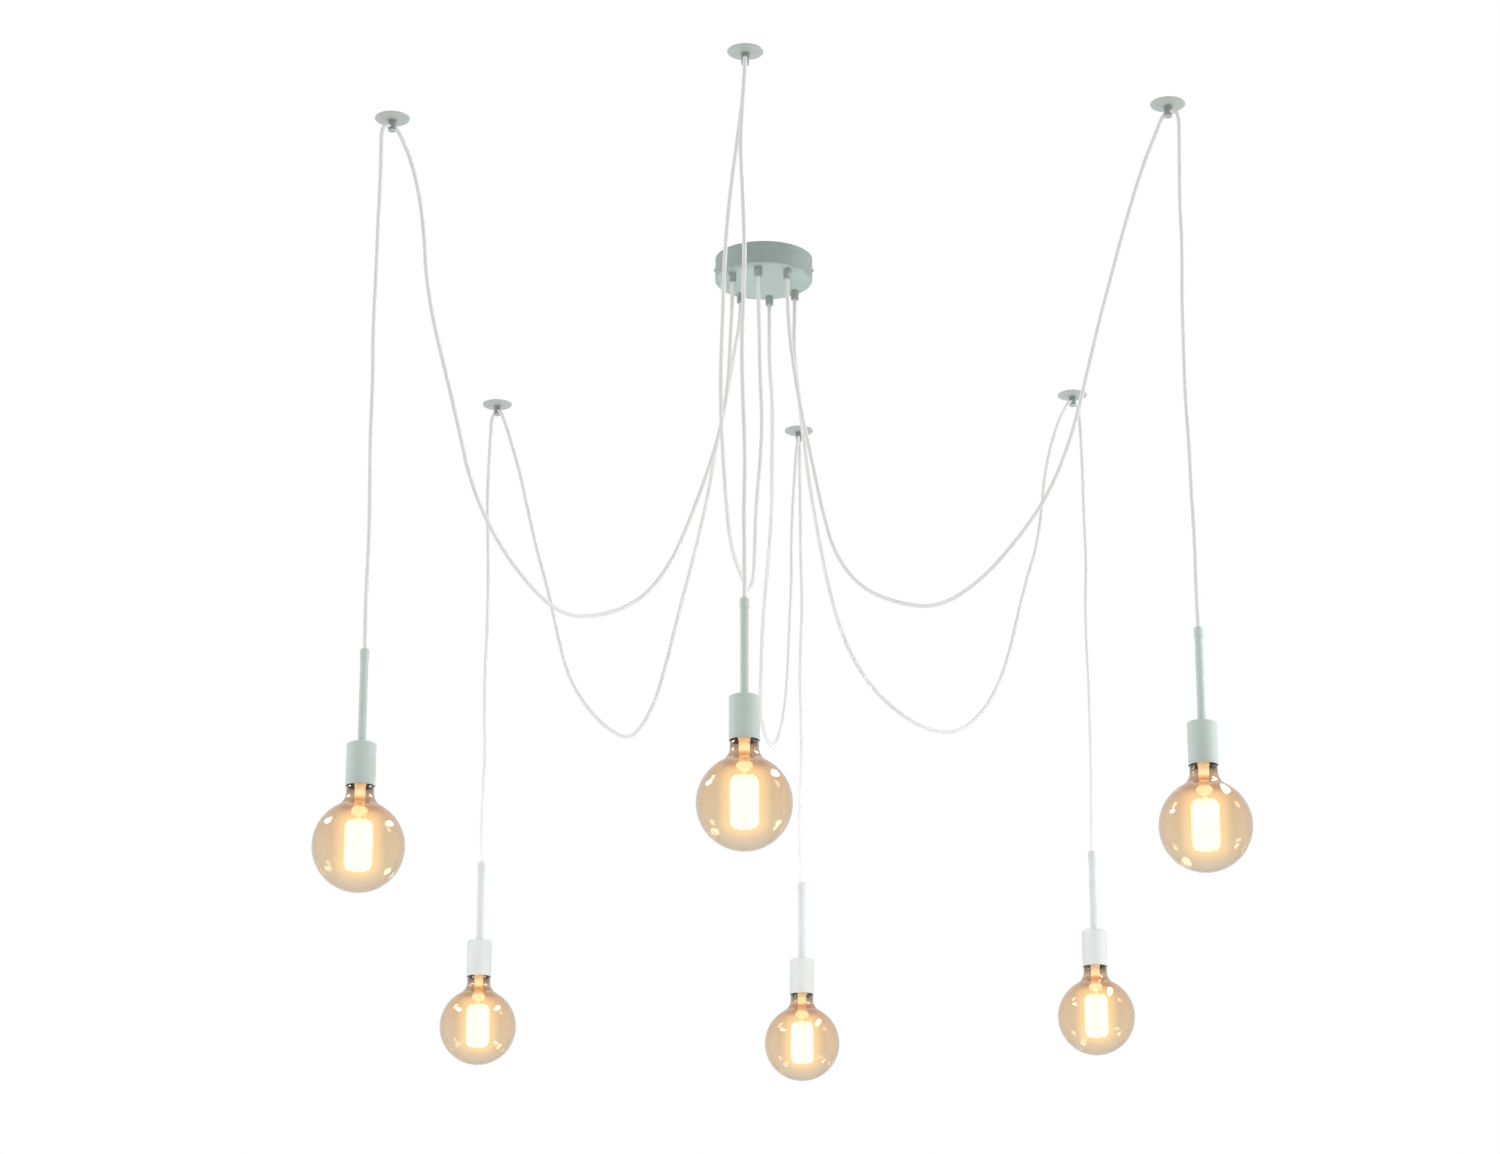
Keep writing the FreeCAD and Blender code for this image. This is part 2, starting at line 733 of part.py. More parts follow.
def swag_route(letter):
    drawn_span, points = swags[letter]
    gland, hook, out = gland_place(letter), hook_place(letter), outward(letter)
    drop, reach = amount("clamp_slot_drop"), amount("swing_out")
    mouth = (reach + 3 * amount("clamp_radius")) / 4
    way_in = hook - out * mouth
    along = way_in - gland
    growth = along.Length / drawn_span
    along.normalize()
    inside = amount("canopy_wall") + amount("cord_end_inside") - amount("canopy_depth")
    lead = amount("canopy_depth") + amount("gland_length") + amount("cord_lead")
    route = [gland + vector(0, 0, inside), gland - vector(0, 0, lead)]
    for point in points:
        stray = point[2] if len(point) == 3 else 0
        route.append(gland + along * point[0] * growth + vector(stray, 0, point[1]) * growth)
    route.append(way_in - vector(0, 0, drop))
    route.append(hook + out * mouth - vector(0, 0, drop))
    route.append(hook + out * reach - vector(0, 0, drop + reach - mouth))
    route.append(hook + out * reach - vector(0, 0, amount("swing_drop")))
    return route


def drop_route(letter):
    drawn_height, points = drops[letter]
    lamp = lamp_place(letter)
    axis = vector(lamp.x, lamp.y, 0)
    growth = -lamp.z / drawn_height
    top = amount("swing_drop") + amount("swing_gap") + amount("cord_radius")
    route = [axis - vector(0, 0, top)]
    route += [axis + vector(*point) * growth for point in points]
    route.append(lamp + vector(0, 0, amount("tilt_rise")))
    return route


# Straight runs joined by tangent arcs, each arc as large as its two runs allow
arc_share = 0.45


def cord_path(route):
    edges, radii, length, start = [], [], 0, route[0]
    for before, corner, after in zip(route, route[1:], route[2:]):
        run_in, run_out = corner - before, after - corner
        cut = arc_share * min(run_in.Length, run_out.Length)
        turn = run_in.getAngle(run_out)
        radius = cut / math.tan(turn / 2)
        way_in, way_out = vector(run_in).normalize(), vector(run_out).normalize()
        first, last = corner - way_in * cut, corner + way_out * cut
        centre_way = (way_out - way_in).normalize()
        to_centre = radius / math.cos(turn / 2)
        middle = corner + centre_way * (to_centre - radius)
        edges.append(Part.LineSegment(start, first).toShape())
        edges.append(Part.Arc(first, middle, last).toShape())
        length += (first - start).Length + radius * turn
        radii.append(radius)
        start = last
    edges.append(Part.LineSegment(start, route[-1]).toShape())
    length += (route[-1] - start).Length
    return Part.Wire(edges), radii, length


def sweep_cord(name, route):
    path, radii, length = cord_path(route)
    solid = sweep(path, route, amount("cord_radius"))
    check_sweep(name, solid, amount("cord_radius"), length)
    print(f"{name}: least radii", sorted(round(radius) for radius in radii)[:4])
    return solid


def sweep(path, route, radius, corners=0):
    circle = Part.Circle(route[0], route[1] - route[0], radius).toShape()
    return path.makePipeShell([Part.Wire([circle])], True, False, corners)


def check_sweep(name, solid, radius, length):
    share = solid.Volume / (math.pi * radius ** 2 * length)
    print(f"{name}: length {length:.0f}, volume share {share:.4f}")
    if abs(share - 1) > 0.01:
        raise ValueError(f"{name} has not the volume of its section along its length")


def make_cords():
    for letter in gland_steps:
        swag = doc.addObject("Part::Feature", f"swag_cord_{letter}")
        swag.Shape = sweep_cord(f"swag_cord_{letter}", swag_route(letter))
        keep_node(swag, f"swag_cord_{letter}")

        route = drop_route(letter)
        ends = [Part.makeSphere(amount("cord_radius"), point) for point in (route[0], route[-1])]
        solid = sweep_cord(f"drop_cord_{letter}", route)
        drop = doc.addObject("Part::Feature", f"drop_cord_{letter}")
        drop.Shape = solid.fuse(ends).removeSplitter()
        keep_node(drop, f"drop_cord_{letter}")


# Heights in a lamp, counted down from the top of its cord grip
def grip_seat():
    return -size("grip_length")


def cup_top():
    return grip_seat() - size("tube_length")


def cup_rim():
    return cup_top() - size("cup_length")


def globe_middle():
    return cup_rim() - size("globe_drop")


def neck_shoulder():
    return globe_middle() + size("neck_height") + size("crimp_rise")


def cap_top():
    return globe_middle() + size("cap_bottom_height") + size("cap_height")


def button_top():
    return cap_top() + size("cap_insulator_height")


# The inside of the cap's thread, and the glass that is crimped into it
def cap_bore():
    return size("cap_radius") - size("cap_thread_depth") - size("cap_wall")


def crimp_radius():
    return cap_bore() - size("crimp_gap")


# Cord grip: a collar on the tube, its spigot inside the tube, dished at the top round the cord's end
def make_grip():
    body = new_body("grip")
    radius, round_over, seat = size("grip_radius"), size("grip_edge_radius"), grip_seat()
    bore, rise = size("grip_bore_radius"), size("tilt_rise")
    dish = size("cord_radius") + size("swing_gap")
    spigot = size("tube_radius") - size("tube_wall") - size("fit_clearance")
    low = seat - size("grip_spigot_length")
    revolve(body, "profile", [
        (root(dish * dish - rise * rise), zero),
        (bore, rise - root(dish * dish - bore * bore), dish, -1),
        (bore, low),
        (spigot, low),
        (spigot, seat),
        (radius, seat),
        (radius, -round_over),
        (radius - round_over, zero, round_over, 1),
    ])
    return body


# Stem tube: a thin tube whose lower end is turned down to pass into the holder
def make_tube():
    body = new_body("tube")
    radius, wall, end = size("tube_radius"), size("tube_wall"), size("tube_end_radius")
    seat, top, low = grip_seat(), cup_top(), cup_top() - size("tube_end_length")
    bore, end_bore = radius - wall, end - wall
    revolve(body, "profile", [
        (end_bore, low),
        (end, low),
        (end, top),
        (radius, top),
        (radius, seat),
        (bore, seat),
        (bore, top + wall),
        (end_bore, top),
    ])
    return body


# Holder cup: a turned cup with a rounded shoulder, open below
def make_cup():
    body = new_body("cup")
    radius, wall, edge = size("cup_radius"), size("cup_wall"), size("cup_edge_radius")
    top, rim, hole = cup_top(), cup_rim(), size("tube_end_radius") + size("fit_clearance")
    revolve(body, "profile", [
        (hole, top - wall),
        (radius - edge, top - wall),
        (radius - wall, top - edge, edge - wall, -1),
        (radius - wall, rim),
        (radius, rim),
        (radius, top - edge),
        (radius - edge, top, edge, 1),
        (hole, top),
    ])
    return body


# Holder insert: the moulded body inside the cup, bored for the bulb's cap, with its centre contact
def make_insert():
    body = new_body("insert")
    outer = size("cup_radius") - size("cup_wall") - size("insert_clearance")
    top = cup_top() - size("cup_wall") - size("insert_top_gap")
    low = neck_shoulder() + size("insert_neck_gap")
    crown, shoulder = size("insert_top_radius"), size("insert_shoulder_depth")
    hole = size("tube_end_radius") + size("fit_clearance")
    bore, contact = size("insert_bore_radius"), size("insert_contact_radius")
    lip, lip_height = size("insert_lip"), size("insert_lip_height")
    contact_face = button_top() + size("insert_contact_gap")
    socket_floor = contact_face + size("insert_contact_height")
    tube_pocket = cup_top() - size("tube_end_length") - size("insert_top_gap")
    revolve(body, "profile", [
        (zero, contact_face),
        (contact, contact_face),
        (contact, socket_floor),
        (bore, socket_floor),
        (bore, low),
        (outer, low),
        (outer, low + lip_height),
        (outer - lip, low + lip_height + lip),
        (outer - lip, top - shoulder),
        (crown, top),
        (hole, top),
        (hole, tube_pocket),
        (zero, tube_pocket),
    ])
    return body


# Globe: one blown wall from the bottom of the sphere, through the flared neck, to the crimp in the cap
def glass_line(wall):
    middle, globe = globe_middle(), size("globe_radius") - wall
    neck, fillet = size("neck_radius") - wall, size("neck_fillet") + wall
    crimp = crimp_radius() - wall
    centre_x = neck + fillet
    centre_z = root((globe + fillet) * (globe + fillet) - centre_x * centre_x)
    share = globe / (globe + fillet)
    return [
        (zero, middle - globe),
        (centre_x * share, middle + centre_z * share, globe, 1),
        (neck, middle + centre_z, fillet, -1),
        (neck, middle + size("neck_height")),
        (crimp, neck_shoulder()),
        (crimp, middle + size("crimp_height")),
    ]


def make_glass():
    body = new_body("glass")
    outer = glass_line(zero)
    inner = glass_line(size("glass_wall"))
    back = [(inner[5][0], inner[5][1]), (inner[4][0], inner[4][1]), (inner[3][0], inner[3][1]),
            (inner[2][0], inner[2][1]), (inner[1][0], inner[1][1], inner[2][2], 1),
            (inner[0][0], inner[0][1], inner[1][2], -1)]
    revolve(body, "profile", outer + back)
    return body


# Bulb core: the threaded cap with its insulator and centre contact, the glass stem and the filament
def make_cap():
    body = new_body("cap")
    radius, bore, root_radius = size("cap_radius"), cap_bore(), cap_bore() + size("cap_wall")
    low, pitch, top = globe_middle() + size("cap_bottom_height"), size("cap_pitch"), cap_top()
    turns = int((size("cap_height") / pitch).value) - 1
    outline = [(bore, low), (radius, low)]
    for number in range(turns):
        start = low + pitch * number
        outline.append((radius, start + pitch / 4))
        outline.append((root_radius, start + pitch / 2))
        outline.append((root_radius, start + pitch * 3 / 4))
        outline.append((radius, start + pitch))
    hole = size("cap_insulator_radius")
    outline += [(radius, top - pitch / 2), (hole, top)]
    outline += [(hole - size("cap_wall"), top), (bore, top - pitch / 2)]
    revolve(body, "profile", outline)
    return body


def make_insulator():
    body = new_body("insulator")
    radius, contact = size("cap_insulator_radius") - size("cap_wall"), size("cap_contact_radius")
    top = button_top() - size("cap_contact_height")
    low = cap_top() - size("cap_wall") - size("cap_insulator_height") / 2
    revolve(body, "profile", [
        (zero, low),
        (radius, low),
        (radius, cap_top()),
        (contact, top),
        (zero, top),
    ])
    return body


def make_button():
    body = new_body("button")
    radius, base = size("cap_contact_radius"), button_top() - size("cap_contact_height")
    revolve(body, "profile", [
        (zero, base),
        (radius, base),
        (radius * 3 / 4, button_top()),
        (zero, button_top()),
    ])
    return body


# Stem: the flared seal, the glass bead that holds the lead wires, and the rod with two rings of
# spokes that carry the bends of the filament
def make_stem():
    body = new_body("stem")
    middle = globe_middle()
    tube, bead, half = size("stem_radius"), size("stem_bead_radius"), size("stem_bead_thickness") / 2
    waist = middle + size("stem_bead_height")
    reach = root(half * half - (tube - bead + half) * (tube - bead + half))
    rod, disc = size("stem_rod_radius"), size("filament_disc_radius")
    top, bottom = middle + size("filament_top"), middle + size("filament_bottom")
    seal, lift = crimp_radius() - size("glass_wall"), middle + size("crimp_height")
    revolve(body, "profile", [
        (zero, bottom - size("filament_disc_height")),
        (disc, bottom - size("filament_disc_height")),
        (disc, bottom),
        (rod, bottom + disc),
        (rod, waist - half),
        (bead - half, waist - half),
        (bead, waist, half, 1),
        (tube, waist + reach, half, 1),
        (tube, lift - seal + tube),
        (seal - size("fit_clearance"), lift),
        (zero, lift),
    ])
    count = size("filament_strand_count")
    step = as_size(360) / count
    half_step = math.radians(step.value / 2)
    bend = size("filament_radius") * Size(math.cos(half_step), f"cos(180deg / {count.text})")
    spokes = (
        ("low_spoke", bottom, step, as_size(360), count / 2),
        ("high_spoke", top, 2 * step, step * (count - 4), count / 2 - 1),
    )
    for name, height, start, extent, number in spokes:
        sketch = new_sketch(body, name, "YZ_Plane", turn=start)
        draw_circle(sketch, zero, height, size("filament_spoke_radius"))
        spoke = pad(body, sketch, bend - size("filament_wire_radius"))
        turn_pattern(body, spoke, extent, number)
    return body


# Filament: one wire from a foot in the bead, up and down round the rod, to the other foot
def filament_route():
    middle, reach = globe_middle().value, amount("filament_radius")
    top, bottom = middle + amount("filament_top"), middle + amount("filament_bottom")
    foot_out = amount("stem_bead_radius") * 2 / 3
    foot_height = middle + amount("stem_bead_height")
    count = int(amount("filament_strand_count"))
    route = [vector(0, foot_out, foot_height)]
    for number in range(count):
        angle = 2 * math.pi * (number + 0.5) / count
        ends = [top, bottom] if number % 2 == 0 else [bottom, top]
        route += [vector(reach * math.cos(angle), reach * math.sin(angle), height) for height in ends]
    route.append(vector(0, -foot_out, foot_height))
    return route


def make_filament(stem):
    route = filament_route()
    path = Part.makePolygon(route)
    wire = sweep(path, route, amount("filament_wire_radius"), corners=1)
    check_sweep("filament", wire, amount("filament_wire_radius"), path.Length)
    filament = doc.addObject("Part::Feature", "filament")
    filament.Shape = wire.cut(stem.Shape)
    return filament


def make_core():
    cap, insulator, button, stem = make_cap(), make_insulator(), make_button(), make_stem()
    doc.recompute()
    return [cap, insulator, button, stem, make_filament(stem)]


def make_lamps():
    pieces = {
        "cord_grip": [make_grip()],
        "stem_tube": [make_tube()],
        "holder_cup": [make_cup()],
        "holder_insert": [make_insert()],
        "bulb_glass": [make_glass()],
        "bulb_core": make_core(),
    }
    for letter in gland_steps:
        spot = lamp_place(letter)
        for name, solids in pieces.items():
            links = []
            for solid in solids:
                link = doc.addObject("App::Link", f"{name}_{letter}_{solid.Name}")
                link.LinkedObject = solid
                place(link, spot, hook_turn(letter))
                links.append(link)
            group = doc.addObject("Part::Compound", f"{name}_{letter}")
            group.Links = links
            keep_node(group, f"{name}_{letter}")


def export_nodes():
    doc.recompute()
    for thing in doc.Objects:
        if "Invalid" in thing.State or "Error" in thing.State:
            raise ValueError(f"{thing.Name} failed: {thing.State}")
    for name, thing in nodes:
        shape = thing.Shape
        if shape.isNull() or not shape.isValid() or not shape.Solids:
            raise ValueError(f"{name} has no valid solid")
        shape.exportStep(f"parts/{name}.step")
        print(f"{name}: {len(shape.Solids)} solids, {shape.Volume / 1000:.2f} cm3")


make_canopy()
make_strap()
make_side_screws()
make_terminal_block()
make_glands()
make_hooks()
make_cords()
make_lamps()
export_nodes()
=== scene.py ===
from functools import partial
import math
import bmesh
import bpy
from mathutils import Matrix, Vector


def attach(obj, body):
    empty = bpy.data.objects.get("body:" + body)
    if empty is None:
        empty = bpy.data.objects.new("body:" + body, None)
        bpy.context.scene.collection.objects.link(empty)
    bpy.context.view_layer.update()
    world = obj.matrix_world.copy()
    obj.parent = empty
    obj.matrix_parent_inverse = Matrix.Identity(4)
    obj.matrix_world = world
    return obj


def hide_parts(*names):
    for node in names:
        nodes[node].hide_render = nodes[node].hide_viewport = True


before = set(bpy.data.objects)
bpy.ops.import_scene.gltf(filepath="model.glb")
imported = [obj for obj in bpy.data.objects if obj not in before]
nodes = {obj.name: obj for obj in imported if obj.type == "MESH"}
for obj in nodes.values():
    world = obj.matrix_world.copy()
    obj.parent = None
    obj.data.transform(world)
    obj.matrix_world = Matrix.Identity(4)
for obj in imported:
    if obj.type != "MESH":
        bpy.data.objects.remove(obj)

# Spider pendant light: a ceiling canopy, six cords that hang in swags to six ceiling hooks, and a
# lamp with a globe bulb under each hook. Metres, the origin is the middle of the canopy on the
# ceiling, +Z up, and the front of the photograph is -Y.
scene = bpy.context.scene
scene.view_settings.view_transform = "Standard"
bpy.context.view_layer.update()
letters = "abcdef"

cameraSettings = {"place": (-0.0215, -5.4865, -2.290), "pitch": 17.884, "lens": 91.2,
                  "sensor": 36, "reach": 60}


def makeCamera():
    s = cameraSettings
    data = bpy.data.cameras.new("camera")
    data.sensor_fit = "HORIZONTAL"
    data.sensor_width = s["sensor"]
    data.lens = s["lens"]
    data.clip_end = s["reach"]
    camera = bpy.data.objects.new("camera", data)
    scene.collection.objects.link(camera)
    camera.location = s["place"]
    camera.rotation_euler = (math.radians(90 + s["pitch"]), 0, 0)
    scene.camera = camera


makeCamera()
print("camera placed")


# Small helpers for node trees: every input takes a plain value or another node's output
def setInputs(tree, node, inputs):
    for key, value in inputs.items():
        if isinstance(value, bpy.types.NodeSocket):
            tree.links.new(value, node.inputs[key])
        else:
            node.inputs[key].default_value = value


def addNode(tree, kind, inputs=None, **settings):
    node = tree.nodes.new(kind)
    for key, value in settings.items():
        setattr(node, key, value)
    setInputs(tree, node, inputs or {})
    return node


def addMath(tree, operation, *values):
    return addNode(tree, "ShaderNodeMath", dict(enumerate(values)),
                   operation=operation).outputs[0]


def combine(tree, *values):
    return addNode(tree, "ShaderNodeCombineXYZ", dict(enumerate(values))).outputs[0]


def newMaterial(name):
    material = bpy.data.materials.new(name)
    material.use_nodes = True
    tree = material.node_tree
    shader = next(node for node in tree.nodes if node.type == "BSDF_PRINCIPLED")
    return material, tree, shader


# Noise that keeps its place on the piece
def addNoise(tree, scale, detail, roughness=0.5, vector=None):
    if vector is None:
        vector = addNode(tree, "ShaderNodeTexCoord").outputs["Object"]
    return addNode(tree, "ShaderNodeTexNoise", {
        "Vector": vector, "Scale": scale, "Detail": detail,
        "Roughness": roughness}).outputs["Fac"]


def mapRange(tree, value, source=(0.0, 1.0), target=(0.0, 1.0)):
    return addNode(tree, "ShaderNodeMapRange", {
        "Value": value, "From Min": source[0], "From Max": source[1],
        "To Min": target[0], "To Max": target[1]}).outputs["Result"]


def addRamp(tree, value, stops):
    node = addNode(tree, "ShaderNodeValToRGB", {"Fac": value})
    elements = node.color_ramp.elements
    while len(elements) > 1:
        elements.remove(elements[-1])
    for number, (spot, colour) in enumerate(stops):
        element = elements[0] if number == 0 else elements.new(spot)
        element.position = spot
        element.color = (*colour, 1)
    return node.outputs["Color"]


def mixColours(tree, first, second, factor=1.0, blend="MIX"):
    return addNode(tree, "ShaderNodeMix", {"Factor": factor, 6: first, 7: second},
                   data_type="RGBA", blend_type=blend).outputs[2]


def addBump(tree, height, strength, distance):
    return addNode(tree, "ShaderNodeBump", {
        "Strength": strength, "Distance": distance, "Height": height}).outputs["Normal"]


# How a ray meets a face: 0 straight on, 1 along it, as at the edge of a round piece
def addFacing(tree):
    return addNode(tree, "ShaderNodeLayerWeight", {"Blend": 0.5}).outputs["Facing"]


# The height on a piece, from 0 to 1, by its UV map
def addHeight(tree):
    place = addNode(tree, "ShaderNodeTexCoord")
    return addNode(tree, "ShaderNodeSeparateXYZ", {0: place.outputs["UV"]}).outputs["Y"]


def newGroup(name, inputs, outputs):
    group = bpy.data.node_groups.new(name, "ShaderNodeTree")
    for label, kind, value in inputs:
        socket = group.interface.new_socket(label, in_out="INPUT", socket_type=kind)
        socket.default_value = value
    for label, kind in outputs:
        group.interface.new_socket(label, in_out="OUTPUT", socket_type=kind)
    return group, group.nodes.new("NodeGroupInput").outputs, group.nodes.new("NodeGroupOutput")


# Sprayed lacquer: a faint orange peel, cloudy gloss and a little dust-grey mottling
def makeLacquerGroup():
    group, given, end = newGroup(
        "lacquerSkin",
        [("Vector", "NodeSocketVector", (0, 0, 0)),
         ("Peel scale", "NodeSocketFloat", 900.0),
         ("Cloud scale", "NodeSocketFloat", 40.0),
         ("Base", "NodeSocketColor", (0.8, 0.8, 0.8, 1)),
         ("Shade", "NodeSocketColor", (0.7, 0.7, 0.7, 1)),
         ("Gloss low", "NodeSocketFloat", 0.2),
         ("Gloss high", "NodeSocketFloat", 0.3)],
        [("Color", "NodeSocketColor"), ("Roughness", "NodeSocketFloat"),
         ("Height", "NodeSocketFloat")])
    peel = addNoise(group, given["Peel scale"], 2.0, vector=given["Vector"])
    cloud = addNoise(group, given["Cloud scale"], 4.0, 0.6, given["Vector"])
    spread = mapRange(group, cloud, (0.35, 0.65))
    setInputs(group, end, {
        "Color": mixColours(group, given["Base"], given["Shade"], spread),
        "Roughness": mapRange(group, spread, target=(given["Gloss low"], given["Gloss high"])),
        "Height": peel})
    return group


lacquerGroup = makeLacquerGroup()
peelDepth = 0.0002


def skinMaterial(name, base, shade, gloss, peelScale=900.0, cloudScale=40.0, bump=0.1, **values):
    material, tree, shader = newMaterial(name)
    skin = addNode(tree, "ShaderNodeGroup", {
        "Vector": addNode(tree, "ShaderNodeTexCoord").outputs["Object"],
        "Peel scale": peelScale, "Cloud scale": cloudScale,
        "Base": (*base, 1), "Shade": (*shade, 1),
        "Gloss low": gloss[0], "Gloss high": gloss[1]}, node_tree=lacquerGroup).outputs
    setInputs(tree, shader, {
        "Base Color": skin["Color"], "Roughness": skin["Roughness"],
        "Normal": addBump(tree, skin["Height"], bump, peelDepth), **values})
    return material


# Finishes: two tones that cloud into each other, the lowest and the highest roughness, and what
# else sets the finish apart. The lacquers are copies of one pale paint: the darker tones of the
# canopy, hooks, glands and clamps are painted shade, and the more neutral tone of the back lamps
# is painted light.
finishes = {
    "lampLacquer": ((0.64, 0.73, 0.685), (0.61, 0.70, 0.655), (0.34, 0.42), {}),
    "backLacquerPaintedLight": ((0.68, 0.705, 0.69), (0.65, 0.675, 0.66), (0.34, 0.42), {}),
    "canopyLacquerPaintedShade": ((0.38, 0.455, 0.43), (0.35, 0.425, 0.40), (0.52, 0.62),
                      {"Specular IOR Level": 0.3}),
    "hookLacquerPaintedShade": ((0.58, 0.635, 0.61), (0.55, 0.605, 0.58), (0.36, 0.44), {}),
    "glandLacquerPaintedShade": ((0.37, 0.41, 0.39), (0.34, 0.38, 0.36), (0.36, 0.46), {}),
    "clampLacquerPaintedShade": ((0.31, 0.36, 0.335), (0.28, 0.33, 0.305), (0.36, 0.46), {}),
    "zincPlate": ((0.62, 0.63, 0.62), (0.50, 0.51, 0.50), (0.28, 0.45),
                  {"peelScale": 400.0, "cloudScale": 160.0, "bump": 0.25, "Metallic": 1.0}),
    "nylonBlock": ((0.80, 0.80, 0.76), (0.74, 0.74, 0.70), (0.45, 0.55),
                   {"peelScale": 600.0, "cloudScale": 90.0, "Subsurface Weight": 0.15}),
    "mouldedInsert": ((0.035, 0.034, 0.032), (0.028, 0.027, 0.026), (0.38, 0.5),
                      {"peelScale": 700.0, "cloudScale": 120.0, "bump": 0.2}),
    "capShell": ((0.72, 0.70, 0.66), (0.62, 0.60, 0.55), (0.2, 0.34),
                 {"peelScale": 500.0, "cloudScale": 220.0, "Metallic": 1.0}),
    "capGlass": ((0.02, 0.02, 0.022), (0.03, 0.03, 0.032), (0.08, 0.16),
                 {"peelScale": 500.0, "cloudScale": 220.0}),
    "solder": ((0.70, 0.70, 0.69), (0.50, 0.50, 0.49), (0.3, 0.5),
               {"cloudScale": 500.0, "bump": 0.4, "Metallic": 1.0}),
    "cupLiningPaintedShade": ((0.20, 0.16, 0.13), (0.17, 0.14, 0.11), (0.45, 0.6), {}),
    "supportWire": ((0.45, 0.43, 0.40), (0.38, 0.36, 0.33), (0.3, 0.4),
                    {"cloudScale": 500.0, "Metallic": 1.0}),
}
materials = {name: skinMaterial(name, base, shade, gloss, **extra)
             for name, (base, shade, gloss, extra) in finishes.items()}


# Cord sheath: smooth extruded plastic, a little smudged, with a soft gloss
sheathSettings = {"dark": (0.85, 0.85, 0.84), "pale": (0.89, 0.89, 0.88), "smudge": 30.0,
                  "gloss": (0.42, 0.52), "specular": 0.4}


def makeCordMaterial():
    s = sheathSettings
    material, tree, shader = newMaterial("cordSheath")
    smudge = addNoise(tree, s["smudge"], 4.0)
    setInputs(tree, shader, {
        "Base Color": addRamp(tree, smudge, [(0.35, s["dark"]), (0.65, s["pale"])]),
        "Roughness": mapRange(tree, smudge, target=s["gloss"]),
        "Specular IOR Level": s["specular"]})
    return material


materials["cordSheath"] = makeCordMaterial()
print("metal, plastic and cord materials made")


# Where each lamp hangs in metres, and how far it is turned about its axis in degrees
lampPlaces = {
    "a": (-0.545536, -0.537333, -0.796, -135.434),
    "b": (-0.467002, 0.657490, -0.805, 125.385),
    "c": (-0.028716, -0.760986, -0.794, -92.161),
    "d": (0.065568, 0.791935, -0.807, 85.267),
    "e": (0.541613, 0.610210, -0.798, 48.408),
    "f": (0.583411, -0.585459, -0.780, -45.100),
}

